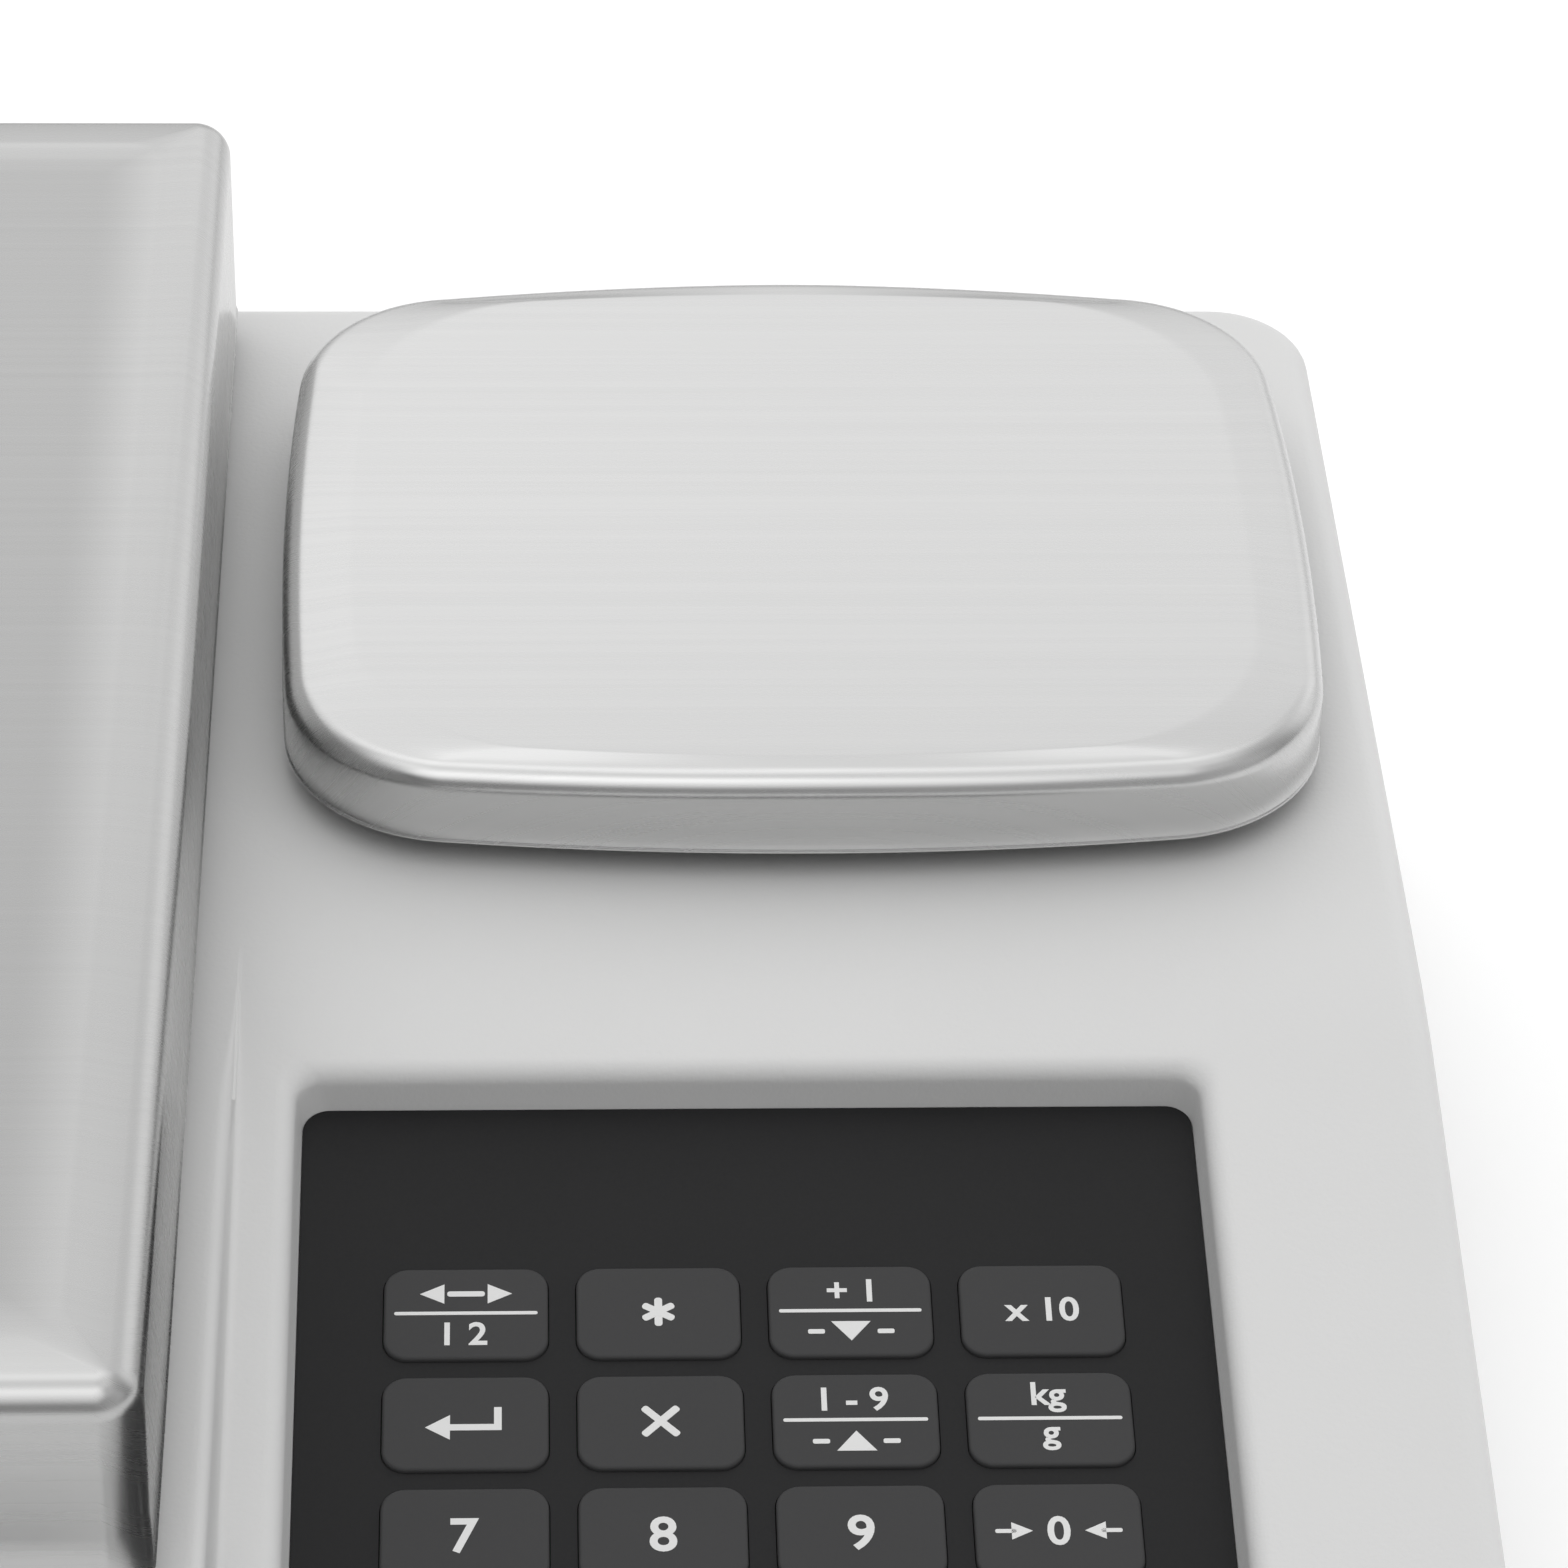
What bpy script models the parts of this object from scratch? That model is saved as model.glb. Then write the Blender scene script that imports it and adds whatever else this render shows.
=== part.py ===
# Label printing counting scale: a large weighing pan, a small sample pan, a sloped
# keypad console, a display fascia and a label printer bay in the front left corner.
# Metres, +Z up, +X to the right, front towards -Y. The origin is at the middle of the
# footprint, on the surface that the feet stand on.
import math

import bmesh
import bpy
from mathutils import Matrix, Vector

for old in list(bpy.data.objects):
    bpy.data.objects.remove(old, do_unlink=True)

MM = 0.001
GAP = 0.3                      # clearance between pieces that touch

# ---- housing
HALF_X, HALF_Y = 215.0, 145.0  # half width and half depth of the casing
CORNER_R = 12.0                # plan corner radius
DECK_Z = 80.0                  # flat top of the casing
PART_Z = 14.0                  # parting line between upper casing and base plate
BASE_Z = 10.0                  # underside of the base plate
WALL = 2.6                     # casing wall
STEP_X = 82.3                  # where the high left block ends and the console begins
SLOPE_Y = 5.1                  # where the console starts to fall towards the front
SLOPE = math.radians(8.63)     # fall of the console
FASCIA_Y = -96.0               # top edge of the display and printer fascia
FASCIA = math.radians(40.8)    # fall of the fascia
FASCIA_END = -142.0            # bottom edge of the fascia

# ---- pans
MAIN_W, MAIN_D, MAIN_R = 290.0, 230.5, 5.5
MAIN_C = (-66.35, 25.8)
MAIN_TOP, MAIN_RIM, MAIN_T = 111.5, 84.0, 1.2
SUB_HALF, SUB_BOW, SUB_R = (60.9, 51.2), (450.0, 370.0), 20.0
SUB_C = (147.1, 78.9)
SUB_TOP, SUB_RIM, SUB_T = 94.0, 83.0, 0.9

# ---- keypad, measured on the console plane from the bend line
PANEL_X0, PANEL_X1 = 90.6, 188.0
PANEL_V0, PANEL_V1 = -11.2, -125.2
RECESS = 7.0
FLARE = 1.6
OVERLAY_T = 1.2
KEY_W, KEY_H, KEY_R = 17.25, 12.0, 2.2
KEY_PX, KEY_PY = 20.43, 14.54
KEY_X0, KEY_V0 = 9.34, 22.4
ROWS, COLS = 6, 4

# ---- printer bay, measured on the fascia plane: s down the slope, d below it
DOOR_X0, DOOR_X1 = -202.0, -118.0
HINGE_S, HINGE_D, HINGE_R = 6.0, 2.5, 2.5
DOOR_END = 50.6
SLOT_END = 55.0
PLATEN_S, PLATEN_D, PLATEN_R = 46.0, 8.0, 5.0
ROLL_C = (-97.0, 40.0)         # y and z of the label roll's axis
ROLL_R, ROLL_CORE = 21.0, 6.8
ROLL_X0, ROLL_X1 = -190.0, -132.0
MODULE, TEETH_PLATEN, TEETH_DRIVE = 0.8, 12, 15
GEAR_X0, GEAR_X1 = -124.0, -120.6
CENTRES = MODULE * (TEETH_PLATEN + TEETH_DRIVE) / 2 + 0.12

PARTS = bpy.data.collections.new("label_printing_scale")
CUTTERS = bpy.data.collections.new("cutters")
bpy.context.scene.collection.children.link(PARTS)
bpy.context.scene.collection.children.link(CUTTERS)


# ------------------------------------------------------------------ helpers
def material(name, rgb, rough, metal=0.0):
    m = bpy.data.materials.new(name)
    m.use_nodes = True
    shader = m.node_tree.nodes["Principled BSDF"]
    shader.inputs["Base Color"].default_value = (*rgb, 1.0)
    shader.inputs["Roughness"].default_value = rough
    shader.inputs["Metallic"].default_value = metal
    return m


def add(name, mesh, mat=None, parent=None):
    """A visible part if it has a material, a hidden cutter if it has none."""
    obj = bpy.data.objects.new(name, mesh)
    if mat is None:
        CUTTERS.objects.link(obj)
        obj.hide_render = True
        obj.display_type = "WIRE"
    else:
        PARTS.objects.link(obj)
        obj.data.materials.append(mat)
    obj.parent = parent
    return obj


def empty(name, loc, tilt=0.0):
    obj = bpy.data.objects.new(name, None)
    obj.location = Vector(loc) * MM
    obj.rotation_euler = (tilt, 0.0, 0.0)
    CUTTERS.objects.link(obj)
    obj.hide_render = True
    return obj


def bm_mesh(name, bm):
    mesh = bpy.data.meshes.new(name)
    bmesh.ops.recalc_face_normals(bm, faces=bm.faces)
    bm.to_mesh(mesh)
    bm.free()
    return mesh


def add_box(bm, lo, hi, turn=None):
    lo, hi = Vector(lo) * MM, Vector(hi) * MM
    size = hi - lo
    m = Matrix.Translation((lo + hi) / 2) @ (turn or Matrix()) @ Matrix.Diagonal((*size, 1.0))
    bmesh.ops.create_cube(bm, size=1.0, matrix=m)


def add_rod(bm, a, b, r, seg, r2=None):
    a, b = Vector(a) * MM, Vector(b) * MM
    way = b - a
    turn = Vector((0, 0, 1)).rotation_difference(way.normalized()).to_matrix().to_4x4()
    bmesh.ops.create_cone(bm, cap_ends=True, segments=seg, radius1=r * MM, radius2=(r if r2 is None else r2) * MM,
                          depth=way.length, matrix=Matrix.Translation((a + b) / 2) @ turn)


def box(name, lo, hi, mat=None, parent=None, bevel=0.0):
    bm = bmesh.new()
    add_box(bm, lo, hi)
    obj = add(name, bm_mesh(name, bm), mat, parent)
    if bevel:
        round_edges(obj, bevel)
    return obj


def boxes(name, list_of, mat=None, parent=None):
    bm = bmesh.new()
    for lo, hi in list_of:
        add_box(bm, lo, hi)
    return add(name, bm_mesh(name, bm), mat, parent)


def rod(name, a, b, r, mat=None, parent=None, seg=24, r2=None):
    bm = bmesh.new()
    add_rod(bm, a, b, r, seg, r2)
    return add(name, bm_mesh(name, bm), mat, parent)


def rods(name, list_of, mat=None, parent=None, seg=16):
    bm = bmesh.new()
    for a, b, r in list_of:
        add_rod(bm, a, b, r, seg)
    return add(name, bm_mesh(name, bm), mat, parent)


def round_edges(obj, width, segments=2, angle=40.0):
    m = obj.modifiers.new("edges", "BEVEL")
    m.width = width * MM
    m.segments = segments
    m.limit_method = "ANGLE"
    m.angle_limit = math.radians(angle)
    return obj


def outline(name, loops, thick, place=None, mat=None, parent=None):
    """A flat outline, the first loop outside and the rest holes, of a thickness about its own plane."""
    curve = bpy.data.curves.new(name, "CURVE")
    curve.dimensions = "2D"
    curve.fill_mode = "BOTH"
    curve.extrude = thick * MM / 2
    for loop in loops:
        spline = curve.splines.new("POLY")
        spline.points.add(len(loop) - 1)
        for point, (x, y) in zip(spline.points, loop):
            point.co = (x * MM, y * MM, 0.0, 1.0)
        spline.use_cyclic_u = True
    holder = bpy.data.objects.new(name + "_curve", curve)
    CUTTERS.objects.link(holder)
    bpy.context.view_layer.update()
    mesh = bpy.data.meshes.new_from_object(holder.evaluated_get(bpy.context.evaluated_depsgraph_get()))
    mesh.name = name
    bpy.data.objects.remove(holder, do_unlink=True)
    bm = bmesh.new()
    bm.from_mesh(mesh)
    bmesh.ops.remove_doubles(bm, verts=bm.verts, dist=1e-6)
    bmesh.ops.dissolve_limit(bm, angle_limit=0.001, verts=bm.verts, edges=bm.edges)
    if place is not None:
        bmesh.ops.transform(bm, matrix=place, verts=bm.verts)
    bmesh.ops.recalc_face_normals(bm, faces=bm.faces)
    bm.to_mesh(mesh)
    bm.free()
    return add(name, mesh, mat, parent)


def side_profile(name, points, x0, x1, mat=None, holes=()):
    """A profile in the YZ plane, extruded along X from x0 to x1."""
    cyc = Matrix(((0, 0, 1, 0), (1, 0, 0, 0), (0, 1, 0, 0), (0, 0, 0, 1)))
    place = Matrix.Translation(((x0 + x1) / 2 * MM, 0, 0)) @ cyc
    return outline(name, [points, *holes], x1 - x0, place, mat)


def plan(name, points, z0, z1, mat=None, parent=None, holes=()):
    return outline(name, [points, *holes], z1 - z0, Matrix.Translation((0, 0, (z0 + z1) / 2 * MM)), mat, parent)


def turned(name, profile, at, mat=None, steps=24):
    """A profile of (radius, height), from the top of the axis down its outer side, turned about Z."""
    bm = bmesh.new()
    verts = [bm.verts.new((r * MM, 0, z * MM)) for r, z in profile]
    for a, b in zip(verts, verts[1:]):
        bm.edges.new((a, b))
    mesh = bpy.data.meshes.new(name)
    bm.to_mesh(mesh)
    bm.free()
    obj = add(name, mesh, mat)
    obj.location = Vector(at) * MM
    m = obj.modifiers.new("turn", "SCREW")
    m.axis = "Z"
    m.steps = m.render_steps = steps
    m.use_merge_vertices = True
    m.merge_threshold = 0.00002
    m.use_smooth_shade = True
    return obj


def boolean(obj, other, how):
    m = obj.modifiers.new(how.lower(), "BOOLEAN")
    m.operation = how
    m.solver = "EXACT"
    m.object = other
    return obj


def cut(obj, *others):
    for other in others:
        boolean(obj, other, "DIFFERENCE")


def join(obj, *others):
    for other in others:
        boolean(obj, other, "UNION")


def rounded(x0, y0, x1, y1, r, steps):
    """Points of a rectangle with round corners, anticlockwise."""
    points = []
    for cx, cy, start in ((x1 - r, y1 - r, 0), (x0 + r, y1 - r, 90), (x0 + r, y0 + r, 180), (x1 - r, y0 + r, 270)):
        for i in range(steps + 1):
            a = math.radians(start + 90 * i / steps)
            points.append((cx + r * math.cos(a), cy + r * math.sin(a)))
    return points


def ring(cx, cy, r, seg):
    return [(cx + r * math.cos(2 * math.pi * i / seg), cy + r * math.sin(2 * math.pi * i / seg)) for i in range(seg)]


def bowed(cx, cy, half_x, half_y, side_x, side_y, r, n, m):
    """A rectangle with gently bowed sides and round corners, all arcs that meet smoothly."""
    ax, by = half_x - side_x, half_y - side_y
    gap = math.hypot(ax, by)
    along = ((side_x - r) ** 2 - (side_y - r) ** 2 + gap ** 2) / (2 * gap)
    off = math.sqrt((side_x - r) ** 2 - along ** 2)
    ux, uy = -ax / gap, by / gap
    qx, qy = ax + ux * along - uy * off, uy * along + ux * off
    if qx < 0 or qy < 0:
        qx, qy = ax + ux * along + uy * off, uy * along - ux * off
    a0, a1 = math.atan2(qy, qx - ax), math.atan2(qy - by, qx)
    q = [(ax + side_x * math.cos(a0 * k / m), side_x * math.sin(a0 * k / m)) for k in range(m)]
    q += [(qx + r * math.cos(a0 + (a1 - a0) * k / n), qy + r * math.sin(a0 + (a1 - a0) * k / n)) for k in range(n + 1)]
    q += [(side_y * math.cos(a1 + (math.pi / 2 - a1) * k / m), by + side_y * math.sin(a1 + (math.pi / 2 - a1) * k / m)) for k in range(1, m + 1)]
    full = q + [(-x, y) for x, y in reversed(q)][1:] + [(-x, -y) for x, y in q][1:] + [(x, -y) for x, y in reversed(q)][1:-1]
    return [(cx + x, cy + y) for x, y in full]


def gear(cy, cz, teeth, phase):
    """Tooth outline of a spur gear with slightly thin, straight flanks."""
    pitch = MODULE * teeth / 2
    root, tip = pitch - 1.1 * MODULE, pitch + 0.75 * MODULE
    half = math.pi * MODULE / 4 * 0.74
    points = []
    for i in range(teeth):
        a = phase + 2 * math.pi * i / teeth
        for r, h in ((root, half + 0.22), (pitch, half), (tip, half - 0.26)):
            points.append((r, a - h / r))
        for r, h in ((tip, half - 0.26), (pitch, half), (root, half + 0.22)):
            points.append((r, a + h / r))
    return [(cy + r * math.cos(a), cz + r * math.sin(a)) for r, a in points]


def fascia_point(s, d):
    """y and z of a point s down the fascia and d below its surface."""
    return (FASCIA_Y - s * math.cos(FASCIA) + d * math.sin(FASCIA),
            DECK_Z - s * math.sin(FASCIA) - d * math.cos(FASCIA))


# ------------------------------------------------------------------ materials
CASE = material("case_grey_plastic", (0.66, 0.66, 0.65), 0.55)
DARK = material("dark_plastic", (0.05, 0.05, 0.052), 0.5)
STEEL = material("brushed_steel", (0.72, 0.72, 0.72), 0.32, 1.0)
ALU = material("cast_aluminium", (0.62, 0.63, 0.64), 0.45, 1.0)
RUBBER = material("black_rubber", (0.03, 0.03, 0.03), 0.85)
FILM = material("keypad_film", (0.028, 0.028, 0.03), 0.42)
KEY = material("key_grey", (0.055, 0.055, 0.058), 0.45)
BOARD = material("circuit_board", (0.03, 0.16, 0.07), 0.5)
LENS = material("smoked_window", (0.02, 0.02, 0.022), 0.12)
LCD = material("display_glass", (0.50, 0.56, 0.46), 0.25)
WHITE = material("paper", (0.86, 0.86, 0.84), 0.8)
GEARS = material("gear_plastic", (0.75, 0.74, 0.70), 0.5)
ZINC = material("zinc_plated", (0.55, 0.55, 0.56), 0.35, 1.0)
CERAMIC = material("head_ceramic", (0.30, 0.30, 0.31), 0.3, 0.4)
BATTERY = material("battery_case", (0.10, 0.11, 0.13), 0.5)
CLEAR = material("level_acrylic", (0.70, 0.78, 0.45), 0.1)

# ------------------------------------------------------------------ planes that pieces are set out on
console = empty("console_plane", (0, SLOPE_Y, DECK_Z), SLOPE)
fascia = empty("fascia_plane", (0, FASCIA_Y, DECK_Z), FASCIA)


def slope_z(y):
    return DECK_Z - (SLOPE_Y - y) * math.tan(SLOPE)


def fascia_z(y):
    return DECK_Z - (FASCIA_Y - y) * math.tan(FASCIA)


# ------------------------------------------------------------------ upper casing
def left_profile(t):
    """The left block's side, moved in by t."""
    b = -HALF_Y + t
    top = DECK_Z - t
    y_top = FASCIA_Y + t * math.tan(FASCIA / 2)
    z_end = fascia_z(FASCIA_END) - t / math.cos(FASCIA)
    front = [(FASCIA_END + 0.2 * t, z_end + 0.2 * t * math.tan(FASCIA)), (b, z_end - 3.4)]
    low = PART_Z if t == 0 else PART_Z - 5
    return [(b, low), (HALF_Y - t, low), (HALF_Y - t, top), (y_top, top), *front]


def right_profile(t):
    b = -HALF_Y + t
    top = DECK_Z - t
    y_bend = SLOPE_Y + t * math.tan(SLOPE / 2)
    low = PART_Z if t == 0 else PART_Z - 5
    return [(b, low), (HALF_Y - t, low), (HALF_Y - t, top), (y_bend, top), (b, slope_z(b) - t / math.cos(SLOPE))]


def common_profile(t):
    """What lies under both blocks, moved in by t."""
    left = left_profile(t)
    # where the two sloping undersides cross
    y = (DECK_Z - t / math.cos(FASCIA) - FASCIA_Y * math.tan(FASCIA) - DECK_Z + t / math.cos(SLOPE) + SLOPE_Y * math.tan(SLOPE)) / (
        math.tan(SLOPE) - math.tan(FASCIA))
    y_bend = SLOPE_Y + t * math.tan(SLOPE / 2)
    return [left[0], left[1], left[2], (y_bend, DECK_Z - t), (y, slope_z(y) - t / math.cos(SLOPE)), *left[4:]]


upper = side_profile("upper_housing", left_profile(0), -HALF_X, STEP_X, CASE)
join(upper, side_profile("console_block", right_profile(0), STEP_X, HALF_X))
boolean(upper, plan("casing_plan", rounded(-HALF_X, -HALF_Y, HALF_X, HALF_Y, CORNER_R, 6), PART_Z - 20, DECK_Z + 20), "INTERSECT")
inner_plan = plan("cavity_plan", rounded(-HALF_X + WALL, -HALF_Y + WALL, HALF_X - WALL, HALF_Y - WALL, CORNER_R - WALL, 4),
                  PART_Z - 30, DECK_Z + 20)
for part_name, profile, x0, x1 in (("left", left_profile(WALL), -HALF_X - 5, STEP_X - WALL),
                                   ("right", right_profile(WALL), STEP_X + WALL, HALF_X + 5),
                                   ("middle", common_profile(WALL + 0.6), STEP_X - WALL - 3, STEP_X + WALL + 3)):
    cavity = side_profile("cavity_" + part_name, profile, x0, x1)
    boolean(cavity, inner_plan, "INTERSECT")
    cut(upper, cavity)

# keypad tub under the console, hinge blocks and screw posts inside the casing
join(upper, box("keypad_tub", (PANEL_X0 - 3.4, PANEL_V1 - 4, -RECESS - 2.4), (PANEL_X1 + 4, PANEL_V0 + 4, -1.2), parent=console))
for i, (x0, x1) in enumerate(((DOOR_X0 - 4.6, DOOR_X0 + 0.0), (DOOR_X1, DOOR_X1 + 4.6))):
    join(upper, box("hinge_block_%d" % i, (x0, -12.0, -6.6), (x1, -1.8, -1.2), parent=fascia))
POSTS = ((-203, 131), (60, 132), (203, 131), (203, -131), (70, -136), (-205, -62))
for i, (x, y) in enumerate(POSTS):
    roof = min(DECK_Z if x < STEP_X or y > SLOPE_Y else slope_z(y), fascia_z(y) if x < STEP_X and y < FASCIA_Y else DECK_Z)
    join(upper, rod("screw_post_%d" % i, (x, y, PART_Z + 0.2), (x, y, roof - 1.0 - (5.0 if roof < 50 else 0.6)), 4.2, seg=12))
cut(upper, rods("post_bores", [((x, y, PART_Z - 4), (x, y, PART_Z + 12), 1.8) for x, y in POSTS], seg=10))

# keypad recess: walls that lean out a little, a floor ledge and a window for the keys
recess = outline("keypad_recess", [rounded(PANEL_X0 - FLARE - 1.2, PANEL_V1 - FLARE - 1.2, PANEL_X1 + FLARE + 1.2, PANEL_V0 + FLARE + 1.2, 3.0, 3)], 10.0,
                 Matrix.Translation((0, 0, (5.0 - RECESS) * MM)), parent=console)
bm = bmesh.new()
bm.from_mesh(recess.data)
for v in bm.verts:      # the pocket is narrower at its floor
    if v.co.z < -RECESS * MM * 0.5:
        x = PANEL_X0 * MM if v.co.x < (PANEL_X0 + PANEL_X1) / 2 * MM else PANEL_X1 * MM
        y = PANEL_V1 * MM if v.co.y < (PANEL_V0 + PANEL_V1) / 2 * MM else PANEL_V0 * MM
        v.co.x += (1 if v.co.x < x + 0.01 and x == PANEL_X0 * MM else -1) * (FLARE + 1.0) * MM
        v.co.y += (1 if y == PANEL_V1 * MM else -1) * (FLARE + 1.0) * MM
bm.to_mesh(recess.data)
bm.free()
cut(upper, recess)
cut(upper, box("keypad_window", (PANEL_X0 + 4, PANEL_V1 + 3, -20), (PANEL_X1 - 4, PANEL_V0 - 4, 2), parent=console))

# fascia openings: printer door and label slot, display rabbet and window, feed button
cut(upper, box("door_opening", (DOOR_X0, -SLOT_END, -9), (DOOR_X1, -HINGE_S + HINGE_R + 0.4, 6), parent=fascia))
cut(upper, rod("pin_bore", (DOOR_X0 - 4, -HINGE_S, -HINGE_D), (DOOR_X1 + 4, -HINGE_S, -HINGE_D), 1.3, parent=fascia, seg=12))
WIN_X0, WIN_X1, WIN_S0, WIN_S1 = -92.0, 70.0, 11.0, 47.0
cut(upper, box("window_rabbet", (WIN_X0 - GAP, -WIN_S1 - GAP, -1.5), (WIN_X1 + GAP, -WIN_S0 + GAP, 6), parent=fascia))
cut(upper, box("window_hole", (WIN_X0 + 3, -WIN_S1 + 3, -9), (WIN_X1 - 3, -WIN_S0 - 3, 6), parent=fascia))
FEED = (-105.0, 30.0)
cut(upper, rod("feed_hole", (FEED[0], -FEED[1], -8), (FEED[0], -FEED[1], 6), 4.8, parent=fascia, seg=20))

# deck openings for the load columns and the level, side and rear openings
MAIN_COL = (-38.0, -6.0, 13.0, 41.0)
SUB_COL = (136.7, 158.7, 48.0, 70.0)
LEVEL = (-66.9, -62.0)
cut(upper, box("main_column_hole", (MAIN_COL[0] - 5, MAIN_COL[2] - 5, DECK_Z - 12), (MAIN_COL[1] + 5, MAIN_COL[3] + 5, DECK_Z + 9)))
cut(upper, box("sub_column_hole", (SUB_COL[0] - 4, SUB_COL[2] - 4, DECK_Z - 12), (SUB_COL[1] + 4, SUB_COL[3] + 4, DECK_Z + 9)))
cut(upper, rod("level_hole", (LEVEL[0], LEVEL[1], DECK_Z - 12), (LEVEL[0], LEVEL[1], DECK_Z + 9), 8.3, seg=20))
SWITCH = (60.0, 38.0)
cut(upper, box("switch_hole", (HALF_X - 9, SWITCH[0] - 10.8, SWITCH[1] - 6.8), (HALF_X + 9, SWITCH[0] + 10.8, SWITCH[1] + 6.8)))
INLET = (105.0, 38.0)
cut(upper, box("inlet_hole", (INLET[0] - 14.4, HALF_Y - 9, INLET[1] - 10.4), (INLET[0] + 14.4, HALF_Y + 9, INLET[1] + 10.4)))

# ------------------------------------------------------------------ base plate, feet and case screws
FEET = {"front_left": (-201, -114), "front_right": (201, -114), "rear_left": (-201, 114), "rear_right": (201, 114)}
base_holes = [ring(x, y, 4.4, 16) for x, y in FEET.values()] + [ring(x, y, 2.2, 12) for x, y in POSTS]
base = plan("base_plate", rounded(-HALF_X + 0.8, -HALF_Y + 0.8, HALF_X - 0.8, HALF_Y - 0.8, CORNER_R - 0.8, 5), BASE_Z, PART_Z - GAP, DARK, holes=base_holes)
join(base, box("sub_cell_seat", (135.7, 112, PART_Z - 2), (159.7, 139, 29.7)))
for label, (x, y) in FEET.items():
    turned("foot_" + label, [(0, 24), (3.4, 24), (4, 23.4), (4, BASE_Z - 1.2), (8.5, BASE_Z - 1.2), (10.5, BASE_Z - 2.6), (11.5, 1.2), (10.6, 0), (0, 0)],
           (x, y, 0), RUBBER, 20)

# ------------------------------------------------------------------ main weighing platform
cx, cy = MAIN_C
box("main_cell_bracket", (-134, cy - 20, PART_Z), (-94, cy + 20, 25.7), ALU, bevel=1.0)
cell = box("main_load_cell", (-134, cy - 15, 26), (0, cy + 15, 48), ALU, bevel=0.8)
cut(cell, rods("main_cell_bores", [((x, cy - 30, 37), (x, cy + 30, 37), 6.5) for x in (-78, -56)], seg=16),
    box("main_cell_slot", (-78, cy - 30, 34.5), (-56, cy + 30, 39.5)))
spider = boxes("main_spider", [((MAIN_COL[0], MAIN_COL[2], 49.1), (MAIN_COL[1], MAIN_COL[3], 96))], ALU)
ARM_X, ARM_Y = 112.0, 84.0
arm_len, arm_turn = 2 * math.hypot(ARM_X, ARM_Y) + 16, math.atan2(ARM_Y, ARM_X)
for i, sign in enumerate((1, -1)):
    bm = bmesh.new()
    add_box(bm, (-arm_len / 2, -11, 88), (arm_len / 2, 11, 99.5))
    bmesh.ops.rotate(bm, verts=bm.verts, cent=(0, 0, 0), matrix=Matrix.Rotation(sign * arm_turn, 3, "Z"))
    bmesh.ops.translate(bm, verts=bm.verts, vec=(cx * MM, cy * MM, 0))
    join(spider, add("spider_arm_%d" % i, bm_mesh("spider_arm", bm)))
join(spider, box("spider_hub", (cx - 34, cy - 30, 87), (MAIN_COL[1] + 2, cy + 30, 97.5)))
seat_at = [(cx + sx * ARM_X, cy + sy * ARM_Y) for sx in (-1, 1) for sy in (-1, 1)]
# one moulded rubber cross lies on the arms, with a pad at each end for the pan
seats = rods("main_pan_seats", [((*seat_at[0], 99.5 + GAP), (*seat_at[0], MAIN_TOP - MAIN_T - GAP), 8.5)], RUBBER, seg=20)
for i, sign in enumerate((1, -1)):
    bm = bmesh.new()
    add_box(bm, (-arm_len / 2 + 12, -5, 99.5 + GAP), (arm_len / 2 - 12, 5, 101.4))
    bmesh.ops.rotate(bm, verts=bm.verts, cent=(0, 0, 0), matrix=Matrix.Rotation(sign * arm_turn, 3, "Z"))
    bmesh.ops.translate(bm, verts=bm.verts, vec=(cx * MM, cy * MM, 0))
    join(seats, add("seat_strip_%d" % i, bm_mesh("seat_strip", bm)))
for i, (x, y) in enumerate(seat_at[1:]):
    join(seats, rod("seat_pad_%d" % i, (x, y, 99.5 + GAP), (x, y, MAIN_TOP - MAIN_T - GAP), 8.5, seg=20))


def pan(name, points, rim, top, thick, bend):
    """A drawn sheet tray, upside down: flat top, rounded bend and a skirt open below."""
    obj = plan(name, points, rim, top, STEEL)
    bm = bmesh.new()
    bm.from_mesh(obj.data)
    bmesh.ops.delete(bm, geom=[f for f in bm.faces if f.normal.z < -0.5], context="FACES_ONLY")
    bm.to_mesh(obj.data)
    bm.free()
    round_edges(obj, bend, 3)
    m = obj.modifiers.new("sheet", "SOLIDIFY")
    m.thickness = thick * MM
    m.offset = -1.0
    m.use_even_offset = True
    return obj


pan("main_pan", rounded(cx - MAIN_W / 2, cy - MAIN_D / 2, cx + MAIN_W / 2, cy + MAIN_D / 2, MAIN_R, 5), MAIN_RIM, MAIN_TOP, MAIN_T, 1.8)

# ------------------------------------------------------------------ sample platform
sx0, sy0 = SUB_C
cell = box("sub_load_cell", (sx0 - 11, 44, 30), (sx0 + 11, 140, 50), ALU, bevel=0.6)
cut(cell, rods("sub_cell_bores", [((sx0 - 30, y, 40), (sx0 + 30, y, 40), 5.5) for y in (82, 100)], seg=16),
    box("sub_cell_slot", (sx0 - 30, 82, 38), (sx0 + 30, 100, 42)))
carrier = box("sub_pan_carrier", (SUB_COL[0], SUB_COL[2], 50.9), (SUB_COL[1], SUB_COL[3], 86), ALU)
join(carrier, box("carrier_plate", (sx0 - 42, sy0 - 32, 84.6), (sx0 + 42, sy0 + 32, 88.4)))
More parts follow.
